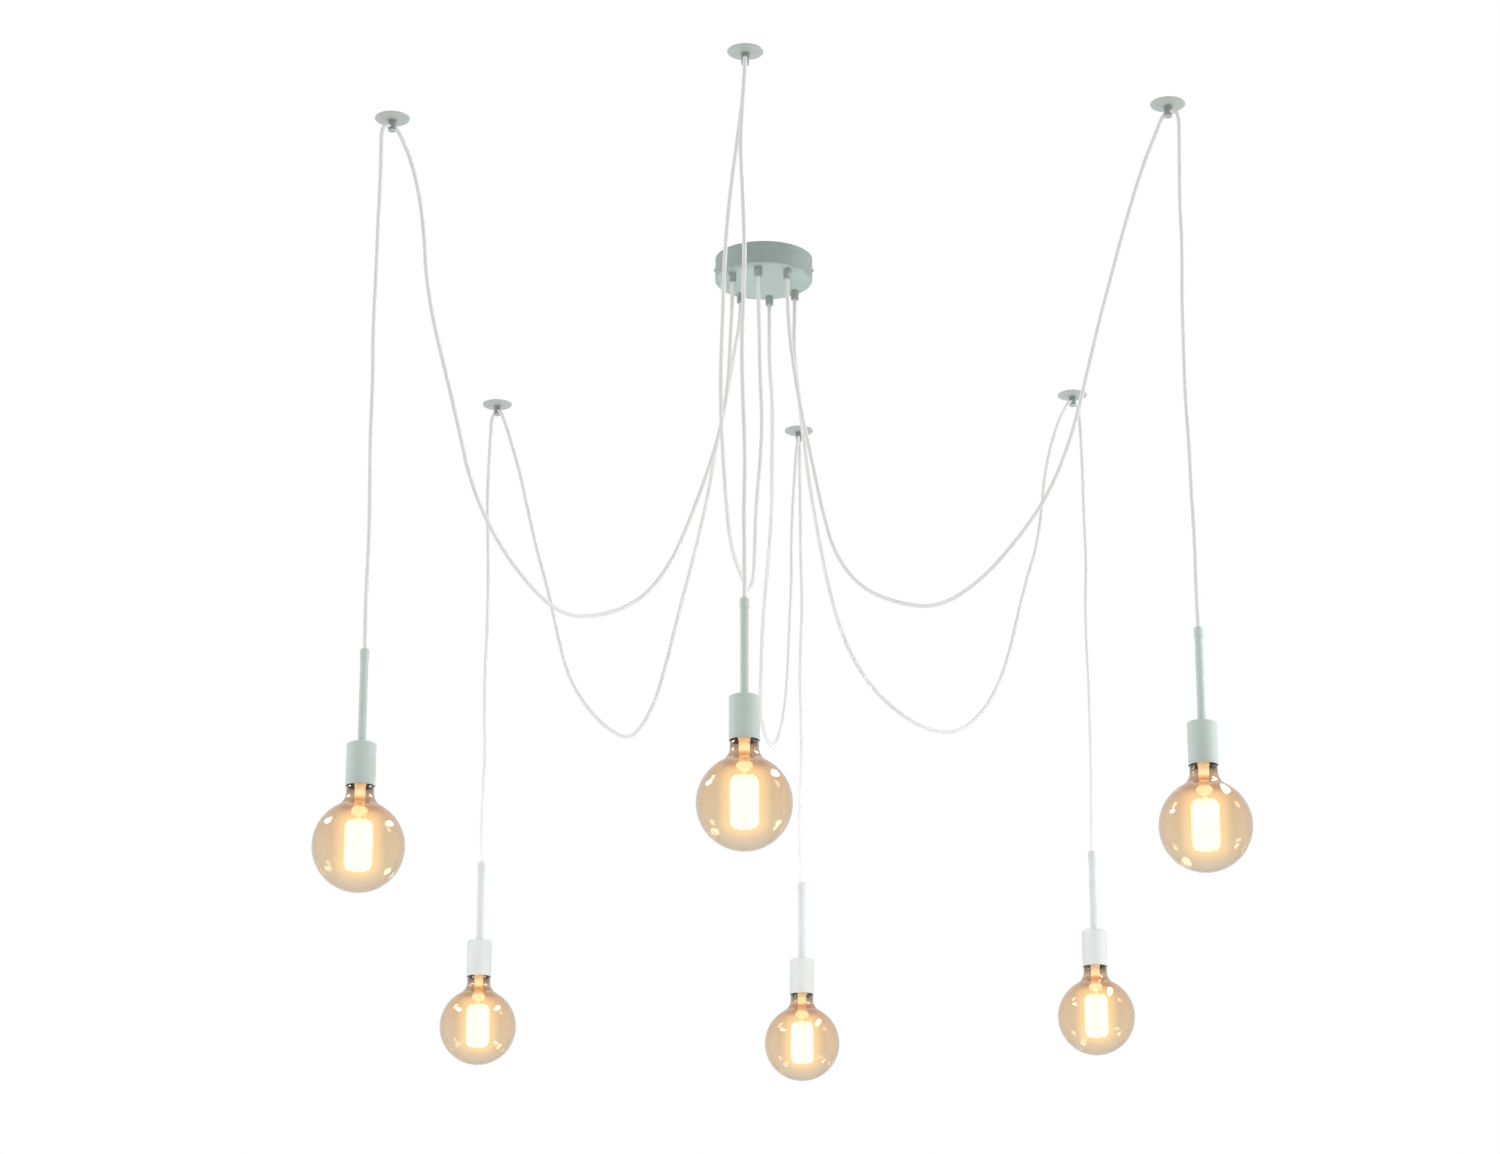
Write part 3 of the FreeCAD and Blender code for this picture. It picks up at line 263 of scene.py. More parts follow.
# Swags: points in mm from the gland of each cord up to the clamp of its hook
swagPoints = {
    "a": [
        (-48.6, -36, -30), (-48.6, -36, -80), (-52.2, -39.6, -158.2), (-55, -42.4, -226.3),
        (-67, -54.5, -305.4), (-88.1, -75.8, -385.5), (-112.1, -100, -463.6),
        (-138.1, -126.4, -537.7), (-177.6, -166.2, -606.8), (-233.2, -222.4, -650.9),
        (-291.7, -281.5, -669.9), (-344.6, -334.8, -630.8), (-386.8, -377.5, -576.8),
        (-417.8, -408.9, -508.7), (-434, -425.2, -436.6), (-450.9, -442.3, -366.5),
        (-470.7, -462.2, -290.4), (-482.6, -474.3, -219.3), (-486.2, -477.9, -160.2),
        (-493.9, -485.7, -102.1), (-505.2, -497.1, -57.1), (-516.5, -508.5, -31),
        (-525.6, -517.7, -13), (-538.4, -530.3, -13), (-545.5, -537.3, -23.1),
        (-545.5, -537.3, -35)],
    "b": [
        (-36, 48.6, -30), (-36, 48.6, -80), (-46.4, 63.4, -130.2), (-58, 79.7, -200.3),
        (-75.3, 104.2, -276.4), (-89.2, 123.8, -358.5), (-110.1, 153.3, -440.6),
        (-132.6, 185.1, -516.7), (-151.7, 212.1, -590.8), (-172.5, 241.5, -655.9),
        (-207.8, 291.4, -697), (-246, 345.4, -664.9), (-284.8, 400.1, -611.9),
        (-317.8, 446.7, -545.8), (-338, 475.3, -463.7), (-354.2, 498.2, -385.5),
        (-376.2, 529.3, -305.4), (-394.7, 555.4, -222.3), (-411.5, 579.1, -145.2),
        (-428.3, 602.8, -84.1), (-440.4, 620, -43.1), (-450.8, 634.7, -13), (-461.2, 649.3, -13),
        (-467, 657.5, -23.1), (-467, 657.5, -35)],
    "c": [
        (-8.9, -59.9, -30), (-8.9, -59.9, -80), (-7.1, -65.9, -150.3), (-6.3, -73.9, -220.5),
        (-2.8, -89.9, -300.7), (-6.4, -113.9, -378.8), (-12.3, -146, -456),
        (-14.4, -184.1, -531.2), (-15.9, -238.2, -599.3), (-24, -313.3, -643.4),
        (-29.3, -396.5, -657.4), (-48.5, -472.6, -628.4), (-55.1, -530.7, -571.2),
        (-60.3, -574.8, -501.1), (-62.1, -602.8, -425.9), (-58.8, -626.9, -345.8),
        (-56.4, -650.9, -262.6), (-49, -672.9, -182.4), (-38.5, -691, -108.2), (-32, -709, -58.1),
        (-29.3, -721, -32.1), (-27.7, -733.1, -13), (-28.3, -750.9, -13), (-28.7, -761, -23.1),
        (-28.7, -761, -35)],
    "d": [
        (8.9, 59.9, -30), (8.9, 59.9, -80), (8.3, 64.8, -146.1), (14.1, 74.8, -220.1),
        (12.3, 89.8, -300.1), (12.8, 109.7, -380.2), (5.4, 137.7, -462.2), (-1.9, 171.6, -540.2),
        (-4.4, 217.5, -610.3), (-6.2, 285.3, -660.3), (7.6, 367.1, -680.3), (17.5, 450.9, -664.3),
        (30, 516.7, -614.3), (38, 566.6, -547.2), (42.5, 604.5, -471.2), (45.5, 634.4, -392.2),
        (49.4, 662.3, -310.1), (49.4, 688.3, -226.1), (53.3, 713.2, -144.1), (57, 734.2, -82),
        (60.1, 749.1, -39), (63.3, 764.1, -13), (64.7, 781.9, -13), (65.6, 791.9, -23.1),
        (65.6, 791.9, -35)],
    "e": [
        (48.6, 36, -30), (48.6, 36, -80), (46, 33, -140.2), (53.9, 42.1, -205.2),
        (61, 50.4, -275.3), (70.2, 61.1, -350.4), (83.8, 77, -430.5), (99.5, 95.3, -508.6),
        (122.9, 122.6, -582.7), (158.1, 163.7, -636.7), (205, 218.4, -668.8),
        (255.9, 277.7, -682.8), (306.1, 336.2, -672.8), (345.2, 381.8, -632.7),
        (376.4, 418.3, -578.7), (399.2, 444.9, -513.6), (416.8, 465.4, -440.5),
        (434.4, 485.9, -370.4), (455.9, 511, -300.3), (465.7, 522.4, -235.3), (472.2, 530, -175.2),
        (484, 543.7, -118.1), (499.6, 561.9, -66.1), (512, 576.4, -37), (523.1, 589.3, -13),
        (534.9, 602.7, -13), (541.6, 610.2, -23.1), (541.6, 610.2, -35)],
    "f": [
        (36, -48.6, -30), (36, -48.6, -80), (38.9, -51.4, -145.1), (46.7, -59.2, -212.2),
        (57.4, -69.7, -284.3), (71.7, -83.7, -360.4), (86, -97.7, -442.5), (104.6, -115.9, -522.5),
        (140.4, -150.9, -584.6), (191.9, -201.4, -624.6), (248.4, -256.7, -649.7),
        (304.8, -312.1, -629.6), (354.9, -361.1, -585.6), (399.2, -404.5, -531.5),
        (430.7, -435.4, -460.5), (451.4, -455.7, -382.4), (470.7, -474.6, -302.3),
        (492.9, -496.3, -222.2), (514.3, -517.3, -146.1), (537.2, -539.7, -76.1),
        (552.2, -554.5, -42), (563.7, -565.7, -13), (576.3, -578.3, -13), (583.4, -585.5, -23.1),
        (583.4, -585.5, -35)]}

# Drops: points in mm from the hook down to the lamp, as the stray from the line under the hook
# and the height
dropPoints = {
    "a": [
        (0, 0, -38.3), (1, 0, -95), (-1, 1, -165), (-1, -1, -245), (-3, 0, -325), (-1, 2, -405),
        (-2, 0, -485), (0, -1, -565), (1, 1, -645), (-1, 0, -720), (0, 0, -795.2)],
    "b": [
        (0, 0, -38.3), (-2, 1, -90), (-4, 0, -165), (-1, -1, -240), (1, 0, -318), (1, 2, -395),
        (-1, 0, -470), (-1, -2, -545), (2, 0, -615), (0, 1, -685), (-2, 0, -750), (0, 0, -804.2)],
    "c": [
        (0, 0, -38.3), (-3, 0, -85), (-6, 1, -145), (-3, 0, -210), (0, -1, -290), (-1, 1, -365),
        (-4, 0, -440), (-2, -1, -520), (1, 0, -600), (-1, 1, -670), (0, 0, -740), (0, 0, -793.2)],
    "d": [
        (0, 0, -38.3), (0, 1, -90), (1, -1, -160), (1, 1, -235), (4, 0, -310), (0, -1, -385),
        (-1, 1, -460), (1, 0, -535), (1, 1, -605), (-3, 0, -680), (-3, -1, -748), (0, 0, -806.2)],
    "e": [
        (0, 0, -38.3), (2, 0, -85), (3, 1, -155), (3, -1, -225), (5, 0, -295), (1, 1, -370),
        (1, -1, -440), (3, 0, -515), (3, 1, -590), (3, -1, -660), (1, 0, -735), (0, 0, -797.2)],
    "f": [
        (0, 0, -38.3), (-1, 0, -85), (-3, 1, -155), (-2, -1, -225), (-5, 0, -300), (-5, 1, -370),
        (-6, -1, -440), (-3, 0, -515), (-2, 1, -590), (0, 0, -660), (-1, 0, -722), (0, 0, -779.2)]}
cordSettings = {"diameter": 0.006, "sides": 6, "steps": 10, "tuck": 0.0026, "ballRows": 16,
                "ballSteps": 28}


# Points in mm become metres, to a tenth of a mm
def routeFrom(points, x=0.0, y=0.0):
    return [(round(x + along / 1000, 4), round(y + across / 1000, 4), round(height / 1000, 4))
            for along, across, height in points]


swagRoutes = {letter: routeFrom(swagPoints[letter]) for letter in letters}
dropRoutes = {letter: routeFrom(dropPoints[letter], *lampPlaces[letter][:2])
              for letter in letters}


# A round cord or wire along a few points
def roundCurve(name, points, radius, sides, steps):
    curve = bpy.data.curves.new(name, "CURVE")
    curve.dimensions = "3D"
    curve.bevel_depth = radius
    curve.bevel_resolution = sides
    curve.resolution_u = steps
    curve.use_fill_caps = True
    spline = curve.splines.new("NURBS")
    spline.points.add(len(points) - 1)
    for point, spot in zip(spline.points, points):
        point.co = (*spot, 1)
    spline.order_u = 3
    spline.use_endpoint_u = True
    curveObject = bpy.data.objects.new(name, curve)
    scene.collection.objects.link(curveObject)
    return curveObject


def makeCord(name, route):
    s = cordSettings
    cord = roundCurve(name, route, s["diameter"] / 2, s["sides"], s["steps"])
    cord.data.materials.append(materials["cordSheath"])
    return cord


# The end of each swag is tucked into the round end of its drop, so that the cord bends at the hook
# without an open seam
def tucked(route):
    x, y, z = route[-1]
    return route[:-1] + [(x, y, z - cordSettings["tuck"])]


for letter in letters:
    swag = makeCord(f"swag_{letter}", tucked(swagRoutes[letter]))
    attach(swag, "root")
    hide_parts(f"swag_cord_{letter}")
    drop = makeCord(f"drop_{letter}", dropRoutes[letter])
    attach(drop, f"cord_{letter}")
    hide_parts(f"drop_cord_{letter}")
print("cords hung")


# A turned shape: the outline of radius and height goes round the Z axis, with a UV map whose V
# follows the outline
def turnedMesh(name, outline, steps, closed=False):
    mesh = bmesh.new()
    uvLayer = mesh.loops.layers.uv.new("UVMap")
    rings = []
    for radius, height in outline:
        if radius < 1e-7:
            rings.append([mesh.verts.new((0, 0, height))])
            continue
        ring = []
        for step in range(steps):
            angle = 2 * math.pi * step / steps
            spot = (radius * math.cos(angle), radius * math.sin(angle), height)
            ring.append(mesh.verts.new(spot))
        rings.append(ring)
    pairs = list(zip(rings, rings[1:]))
    if closed:
        pairs.append((rings[-1], rings[0]))
    for row, (near, far) in enumerate(pairs):
        for step in range(steps):
            after = (step + 1) % steps
            corners = [(near, step, 0), (near, after, 0), (far, after, 1), (far, step, 1)]
            if len(near) == 1:
                corners = [(near, 0, 0), (far, after, 1), (far, step, 1)]
            elif len(far) == 1:
                corners = [(near, step, 0), (near, after, 0), (far, 0, 1)]
            face = mesh.faces.new([ring[number if len(ring) > 1 else 0]
                                   for ring, number, _ in corners])
            face.smooth = True
            for loop, (_, number, rise) in zip(face.loops, corners):
                share = step + (1 if number == after and number != step else 0)
                loop[uvLayer].uv = (share / steps, (row + rise) / len(pairs))
    bmesh.ops.recalc_face_normals(mesh, faces=mesh.faces)
    data = bpy.data.meshes.new(name)
    mesh.to_mesh(data)
    mesh.free()
    return data


# A UV map whose V is the height between two levels, so that colours can follow it on each lamp
def mapHeight(data, low, high):
    layer = data.uv_layers["UVMap"]
    for loop in data.loops:
        spot = data.vertices[loop.vertex_index].co
        turn = math.atan2(spot.y, spot.x) / (2 * math.pi) + 0.5
        layer.data[loop.index].uv = (turn, (spot.z - low) / (high - low))


def arcPoints(centre, radius, startAngle, endAngle, count):
    points = []
    for number in range(count + 1):
        angle = math.radians(startAngle + (endAngle - startAngle) * number / count)
        points.append((centre[0] + radius * math.cos(angle), centre[1] + radius * math.sin(angle)))
    return points


def joinMeshes(name, meshes):
    joined = bmesh.new()
    for mesh in meshes:
        joined.from_mesh(mesh)
    data = bpy.data.meshes.new(name)
    joined.to_mesh(data)
    joined.free()
    return data


def addPiece(name, mesh, body, material, node):
    piece = bpy.data.objects.new(name, mesh)
    scene.collection.objects.link(piece)
    if not mesh.materials:
        mesh.materials.append(materials[material])
    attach(piece, body)
    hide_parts(node)


# The mesh that a curve or a modifier makes, as a plain mesh
def plainMesh(thing):
    graph = bpy.context.evaluated_depsgraph_get()
    return bpy.data.meshes.new_from_object(thing.evaluated_get(graph), depsgraph=graph)


# Geometry Nodes tree that takes the named sizes and a material
def newTree(name, sizes):
    tree = bpy.data.node_groups.new(name, "GeometryNodeTree")
    addSocket = tree.interface.new_socket
    addSocket("Geometry", in_out="INPUT", socket_type="NodeSocketGeometry")
    for label, value in sizes.items():
        kind = "NodeSocketInt" if isinstance(value, int) else "NodeSocketFloat"
        addSocket(label, in_out="INPUT", socket_type=kind).default_value = value
    addSocket("Material", in_out="INPUT", socket_type="NodeSocketMaterial")
    addSocket("Geometry", in_out="OUTPUT", socket_type="NodeSocketGeometry")
    return tree, tree.nodes.new("NodeGroupInput").outputs, tree.nodes.new("NodeGroupOutput")


def finishTree(tree, given, end, geometry):
    real = addNode(tree, "GeometryNodeRealizeInstances", {0: geometry})
    paint = addNode(tree, "GeometryNodeSetMaterial", {
        "Geometry": real.outputs[0], "Material": given["Material"]})
    setInputs(tree, end, {"Geometry": paint.outputs[0]})


# A point at a radius, an angle and a height
def roundPlace(tree, radius, angle, height):
    calc = partial(addMath, tree)
    return combine(tree, calc("MULTIPLY", radius, calc("COSINE", angle)),
                   calc("MULTIPLY", radius, calc("SINE", angle)), height)


def roundWire(tree, curve, radius, sides):
    section = addNode(tree, "GeometryNodeCurvePrimitiveCircle", {
        "Resolution": sides, "Radius": radius})
    return addNode(tree, "GeometryNodeCurveToMesh", {
        "Curve": curve, "Profile Curve": section.outputs[0], "Fill Caps": True}).outputs[0]


# Runs a tree on an empty mesh with the named sizes and gives back the plain mesh
def grown(name, tree, material, sizes):
    holder = bpy.data.objects.new(name, bpy.data.meshes.new(name))
    scene.collection.objects.link(holder)
    modifier = holder.modifiers.new(name, "NODES")
    modifier.node_group = tree
    identifiers = {item.name: item.identifier for item in tree.interface.items_tree
                   if item.item_type == "SOCKET" and item.in_out == "INPUT"}
    for label, value in {**sizes, "Material": materials[material]}.items():
        modifier[identifiers[label]] = value
    bpy.context.view_layer.update()
    mesh = plainMesh(holder)
    holder.modifiers.clear()
    bpy.data.objects.remove(holder)
    mesh.name = name
    return mesh


# A copy of a lamp's mesh, moved to where that lamp hangs
def hung(name, mesh, letter):
    x, y, z, turn = lampPlaces[letter]
    data = mesh.copy()
    data.name = name
    data.transform(Matrix.Translation((x, y, z)) @ Matrix.Rotation(math.radians(turn), 4, "Z"))
    return data


# The round ends of each drop, where the cord bends at its hook and at its lamp
def makeKnuckles():
    radius = cordSettings["diameter"] / 2
    line = arcPoints((0, 0), radius, -90, 90, cordSettings["ballRows"])
    line[0], line[-1] = (0, -radius), (0, radius)
    ball = turnedMesh("ball", line, cordSettings["ballSteps"])
    for letter in letters:
        parts = []
        for spot in (dropRoutes[letter][0], dropRoutes[letter][-1]):
            part = ball.copy()
            part.transform(Matrix.Translation(spot))
            parts.append(part)
        addPiece(f"knuckles_{letter}", joinMeshes(f"knuckles_{letter}", parts), f"cord_{letter}",
                 "cordSheath", f"drop_cord_{letter}")


makeKnuckles()


# Holder cup: turned metal with a rounded shoulder, lacquered outside; its dark brown-grey inside
# is painted shade in the cup
cupSettings = {"radius": 0.0202, "wall": 0.0012, "top": -0.133, "rim": -0.193, "edge": 0.0026,
               "hole": 0.005, "flat": 0.6, "lip": 0.0006, "upper": 0.02, "lower": 0.01,
               "steps": 96}


def makeCupMesh():
    s = cupSettings
    top, rim, edge, lip = s["top"], s["rim"], s["edge"], s["lip"]
    inner, shelf, flat = s["radius"] - s["wall"], top - s["wall"], s["radius"] * s["flat"]
    shoulder = (s["radius"] - edge, top - edge)
    line = [(s["hole"], top), (flat, top), *arcPoints(shoulder, edge, 90, 0, 8),
            (s["radius"], top - s["upper"]), (s["radius"], rim + s["lower"]),
            *arcPoints((s["radius"] - lip, rim + lip), lip, 0, -90, 4),
            *arcPoints((inner + lip, rim + lip), lip, -90, -180, 4)[1:],
            (inner, rim + s["lower"]), (inner, top - s["upper"]),
            *arcPoints(shoulder, edge - s["wall"], 0, 90, 5),
            (flat, shelf), (s["hole"], shelf)]
    mesh = turnedMesh("cup", line, s["steps"], closed=True)
    mesh.materials.append(materials["lampLacquer"])
    mesh.materials.append(materials["cupLiningPaintedShade"])
    for face in mesh.polygons:
        reach = math.hypot(face.center.x, face.center.y)
        below = face.center.z < top - s["wall"] * 0.9
        if below and (reach < inner + 0.0001 or face.center.z > top - s["wall"] * 1.1):
            face.material_index = 1
    return mesh


# The three lamps at the back take a more neutral copy of the same lacquer than the three at the
# front: painted light, where the back lamps catch whiter light
def lampFinish(letter):
    return "backLacquerPaintedLight" if letter in "bde" else "lampLacquer"


def makeCups():
    mesh = makeCupMesh()
    for letter in letters:
        cup = hung("cup", mesh, letter)
        cup.materials[0] = materials[lampFinish(letter)]
        addPiece(f"cup_{letter}", cup, f"lamp_{letter}", lampFinish(letter),
                 f"holder_cup_{letter}")


makeCups()
print("cups turned")


# Globe: one blown wall from the bottom of the sphere to the crimp in the cap
globeSettings = {"middle": -0.2755, "radius": 0.0625, "wall": 0.001, "neck": 0.0191,
                 "fillet": 0.022, "shoulder": -0.1938, "crimp": 0.0118, "crimpLow": -0.1876,
                 "crimpTop": -0.185, "steps": 96}
globeMiddle = Matrix.Translation((0, 0, globeSettings["middle"]))


def globeLine(wall):
    s = globeSettings
    radius, neck, fillet = s["radius"] - wall, s["neck"] - wall, s["fillet"] + wall
    centreX = neck + fillet
    centreZ = math.sqrt((radius + fillet) ** 2 - centreX ** 2)
    join = math.degrees(math.atan2(centreZ, centreX))
    line = arcPoints((0, s["middle"]), radius, -90, join, 44)
    line[0] = (0, line[0][1])
    line += arcPoints((centreX, s["middle"] + centreZ), fillet, join - 180, -180, 12)[1:]
    line.append((neck, s["shoulder"]))
    line.append((s["crimp"] - wall, s["crimpLow"]))
    line.append((s["crimp"] - wall, s["crimpTop"]))
    return line


def makeGlobeMesh():
    s = globeSettings
    outer, inner = globeLine(0), globeLine(s["wall"])
    mesh = turnedMesh("globe", outer + inner[::-1], s["steps"])
    mapHeight(mesh, s["middle"] - s["radius"], s["shoulder"])
    return mesh


# Screw cap: a thin shell whose wall follows the thread, grown from a grid
capSettings = {"Sides": 72, "Rows": 80, "Low": -0.1865, "Top": -0.1660, "Crest": 0.0132,
               "Depth": 0.0007, "Pitch": 0.0036, "Run out": 0.002}


def makeThreadTree():
    tree, given, end = newTree("capThread", capSettings)
    calc = partial(addMath, tree)
    grid = addNode(tree, "GeometryNodeMeshGrid", {
        "Size X": 1.0, "Size Y": 1.0, "Vertices X": calc("ADD", given["Sides"], 1),
        "Vertices Y": calc("ADD", given["Rows"], 1)})
    position = addNode(tree, "GeometryNodeInputPosition")
    spot = addNode(tree, "ShaderNodeSeparateXYZ", {0: position.outputs[0]})
    turn = calc("ADD", spot.outputs["X"], 0.5)
    climb = calc("ADD", spot.outputs["Y"], 0.5)
    reach = calc("SUBTRACT", given["Top"], given["Low"])
    rise = calc("MULTIPLY", climb, reach)
    wound = calc("DIVIDE", rise, given["Pitch"])
    phase = calc("MULTIPLY", calc("SUBTRACT", wound, turn), 2 * math.pi)
    wave = calc("MULTIPLY_ADD", calc("COSINE", phase), -0.5, 0.5)
    above = calc("DIVIDE", rise, given["Run out"])
    below = calc("DIVIDE", calc("SUBTRACT", reach, rise), given["Run out"])
    fade = calc("MINIMUM", calc("MINIMUM", above, below), 1.0)
    cut = calc("MULTIPLY", calc("MULTIPLY", wave, fade), given["Depth"])
    place = roundPlace(tree, calc("SUBTRACT", given["Crest"], cut),
                       calc("MULTIPLY", turn, 2 * math.pi), calc("ADD", rise, given["Low"]))
    bend = addNode(tree, "GeometryNodeSetPosition", {
        "Geometry": grid.outputs["Mesh"], "Position": place})
    weld = addNode(tree, "GeometryNodeMergeByDistance", {
        "Geometry": bend.outputs[0], "Distance": 0.00001})
    smooth = addNode(tree, "GeometryNodeSetShadeSmooth", {0: weld.outputs[0]})
    finishTree(tree, given, end, smooth.outputs[0])
    return tree


def makeCapMesh():
    mesh = grown("capThread", makeThreadTree(), "capShell", capSettings)
    shell = bmesh.new()
    shell.from_mesh(mesh)
    shell.normal_update()
    if sum(face.normal.dot(face.calc_center_median() * Vector((1, 1, 0)))
           for face in shell.faces) < 0:
        bmesh.ops.reverse_faces(shell, faces=shell.faces)
    shell.to_mesh(mesh)
    shell.free()
    return mesh


# Filament: one coiled wire that runs up and down between two rings of hooks round the glass rod
filamentSettings = {"Strands": 16, "Ring": 0.015, "Top": 0.034, "Bottom": -0.031, "Bend": 0.0016,
                    "Coil": 0.00032, "Coil pitch": 0.0022, "Wire": 0.00022, "Steps in turn": 6}


def makeFilamentTree():
    tree, given, end = newTree("coiledFilament", filamentSettings)
    calc = partial(addMath, tree)
    index = addNode(tree, "GeometryNodeInputIndex").outputs[0]
    strand = calc("FLOOR", calc("DIVIDE", index, 2))
    turn = calc("DIVIDE", calc("ADD", strand, 0.5), given["Strands"])
    beat = calc("MODULO", calc("ADD", index, 1), 4)
    tall = calc("SUBTRACT", given["Top"], given["Bottom"])
    height = calc("ADD", calc("MULTIPLY", calc("LESS_THAN", beat, 1.5), tall), given["Bottom"])
    points = addNode(tree, "GeometryNodePoints", {
        "Count": calc("MULTIPLY", given["Strands"], 2),
        "Position": roundPlace(tree, given["Ring"], calc("MULTIPLY", turn, 2 * math.pi),
                               height)})
    thread = addNode(tree, "GeometryNodePointsToCurves", {"Points": points.outputs[0]})
    fillet = addNode(tree, "GeometryNodeFilletCurve", {
        "Curve": thread.outputs[0], "Radius": given["Bend"], "Count": 5}, mode="POLY")
    split = addNode(tree, "GeometryNodeResampleCurve", {
        "Curve": fillet.outputs[0],
        "Length": calc("DIVIDE", given["Coil pitch"], given["Steps in turn"])}, mode="LENGTH")
    along = addNode(tree, "GeometryNodeSplineParameter").outputs["Index"]
    tangent = addNode(tree, "GeometryNodeInputTangent").outputs[0]
    normal = addNode(tree, "GeometryNodeInputNormal").outputs[0]
    phase = calc("MULTIPLY", calc("DIVIDE", along, given["Steps in turn"]), 2 * math.pi)
    side = addNode(tree, "ShaderNodeVectorMath", {0: tangent, 1: normal},
                   operation="CROSS_PRODUCT").outputs[0]
    pushes = [addNode(tree, "ShaderNodeVectorMath", {
        0: way, "Scale": calc("MULTIPLY", given["Coil"], calc(wave, phase))},
        operation="SCALE").outputs[0] for way, wave in ((normal, "COSINE"), (side, "SINE"))]
    offset = addNode(tree, "ShaderNodeVectorMath", dict(enumerate(pushes)))
    wind = addNode(tree, "GeometryNodeSetPosition", {
        "Geometry": split.outputs[0], "Offset": offset.outputs[0]})
    coil = roundWire(tree, wind.outputs[0], given["Wire"], 5)
    smooth = addNode(tree, "GeometryNodeSetShadeSmooth", {0: coil})
    finishTree(tree, given, end, smooth.outputs[0])
    return tree


# Hooks that carry the bends of the filament: a bent wire on each of two rings, set on the rod
hookSettings = {"Number": 8, "Wire": 0.00022, "Reach": 0.0149, "Curl": 0.0011}
hookRings = {
    "lowHooks": {"Missing": 0, "Height": filamentSettings["Bottom"], "First turn": 0.0},
    "highHooks": {"Missing": 1, "Height": filamentSettings["Top"], "First turn": 0.5}}


def makeHookTree():
    tree, given, end = newTree("filamentHooks", {**hookSettings, **hookRings["lowHooks"]})
    calc = partial(addMath, tree)
    line = addNode(tree, "GeometryNodeCurvePrimitiveBezierSegment", {
        "Resolution": 12, "Start": (0, 0, 0),
        "Start Handle": combine(tree, calc("MULTIPLY", given["Reach"], 0.75), 0.0, 0.0),
        "End Handle": combine(tree, calc("ADD", given["Reach"], given["Curl"]), 0.0,
                              calc("MULTIPLY", given["Curl"], -0.6)),
        "End": combine(tree, given["Reach"], 0.0, given["Curl"])}, mode="POSITION")
    points = addNode(tree, "GeometryNodePoints", {
        "Count": calc("SUBTRACT", given["Number"], given["Missing"]),
        "Position": combine(tree, 0.0, 0.0, given["Height"])})
    index = addNode(tree, "GeometryNodeInputIndex").outputs[0]
    share = calc("DIVIDE", calc("ADD", index, given["First turn"]), given["Number"])
    copies = addNode(tree, "GeometryNodeInstanceOnPoints", {
        "Points": points.outputs[0],
        "Instance": roundWire(tree, line.outputs[0], given["Wire"], 6),
        "Rotation": combine(tree, 0.0, 0.0, calc("MULTIPLY", share, 2 * math.pi))})
    finishTree(tree, given, end, copies.outputs[0])
    return tree


# Stem: the flared glass seal, the bead that holds the lead wires and the thin rod with its disc
stemSettings = {"tube": 0.0073, "flare": 0.0106, "flareTop": 0.0905, "flareLow": 0.086,
                "bead": 0.011, "beadMiddle": 0.049, "beadHalf": 0.006, "rod": 0.0014,
                "disc": 0.0024, "discLow": -0.0335, "discTop": -0.031, "chamfer": 0.0006,
                "lip": 0.001, "steps": 48}


def makeStemMesh():
    s = stemSettings
    disc, low, high, chamfer = s["disc"], s["discLow"], s["discTop"], s["chamfer"]
    rod, half, middle = s["rod"], s["beadHalf"], s["beadMiddle"]
    tube, flareLow, flareTop = s["tube"], s["flareLow"], s["flareTop"]
    line = [(0, low), (disc * 0.8, low), (disc, low + chamfer), (disc, high - chamfer),
            (disc * 0.8, high), (rod, high + s["lip"]), (rod, middle - half - 0.0015),
            (rod * 1.5, middle - half - 0.0004), (rod * 2.2, middle - half),
            *arcPoints((s["bead"] - half, middle), half, -90, 62, 18),
            (tube, middle + half * 0.985), (tube, flareLow - 0.006),
            (tube * 1.08, flareLow - 0.002), (tube * 1.25, flareLow + 0.001),
            (s["flare"], flareTop - s["lip"]), (s["flare"], flareTop), (0, flareTop)]
    mesh = turnedMesh("stem", line, s["steps"])
    mapHeight(mesh, low, flareTop)
    mesh.transform(globeMiddle)
    return mesh


# The two lead wires run from the bead to the ends of the filament; the second is mirrored
leadSettings = {"radius": 0.0003, "turn": 0.010, "sides": 2, "steps": 8,
                "points": [(0.0, 0.0073, 0.0485), (0.0, 0.0078, 0.040), (0.0045, 0.0090, 0.032),
                           (0.0120, 0.0050, 0.022)]}


def makeSupportMesh():
    s, f = leadSettings, filamentSettings
    tree = makeHookTree()
    low, high = [grown(name, tree, "supportWire", {**hookSettings, **ring})
                 for name, ring in hookRings.items()]
    low.transform(Matrix.Scale(-1, 4, (0, 0, 1)))
    low.transform(Matrix.Translation((0, 0, 2 * f["Bottom"])))
    low.flip_normals()
    parts = [low, high]
    for side in (1, -1):
        angle = math.pi / f["Strands"] * side
        tip = (f["Ring"] * math.cos(angle), f["Ring"] * math.sin(angle))
        points = [(x, y * side, z) for x, y, z in s["points"]]
        points += [(*tip, s["turn"]), (*tip, f["Bottom"])]
        lead = roundCurve("lead", points, s["radius"], s["sides"], s["steps"])
        parts.append(plainMesh(lead))
        bpy.data.objects.remove(lead)
    mesh = joinMeshes("filamentSupports", parts)
    mesh.transform(globeMiddle)
    return mesh


# Glow: the light that the coil spreads round itself, as soft sleeves that fade towards their edges
glowSettings = {
    "glowSleeve": {"radius": 0.0195, "low": -0.0330, "high": 0.0357, "edge": 0.010,
                   "colour": (1.0, 0.97, 0.88), "strength": 4.0, "power": 1.5, "cover": 0.95},
    "glowHalo": {"radius": 0.036, "low": -0.047, "high": 0.052, "edge": 0.024,
                 "colour": (1.0, 0.76, 0.45), "strength": 1.45, "power": 2.4, "cover": 0.75}}
glowNoise = {"scale": 60.0, "share": 0.9}
sleeveSteps = 48


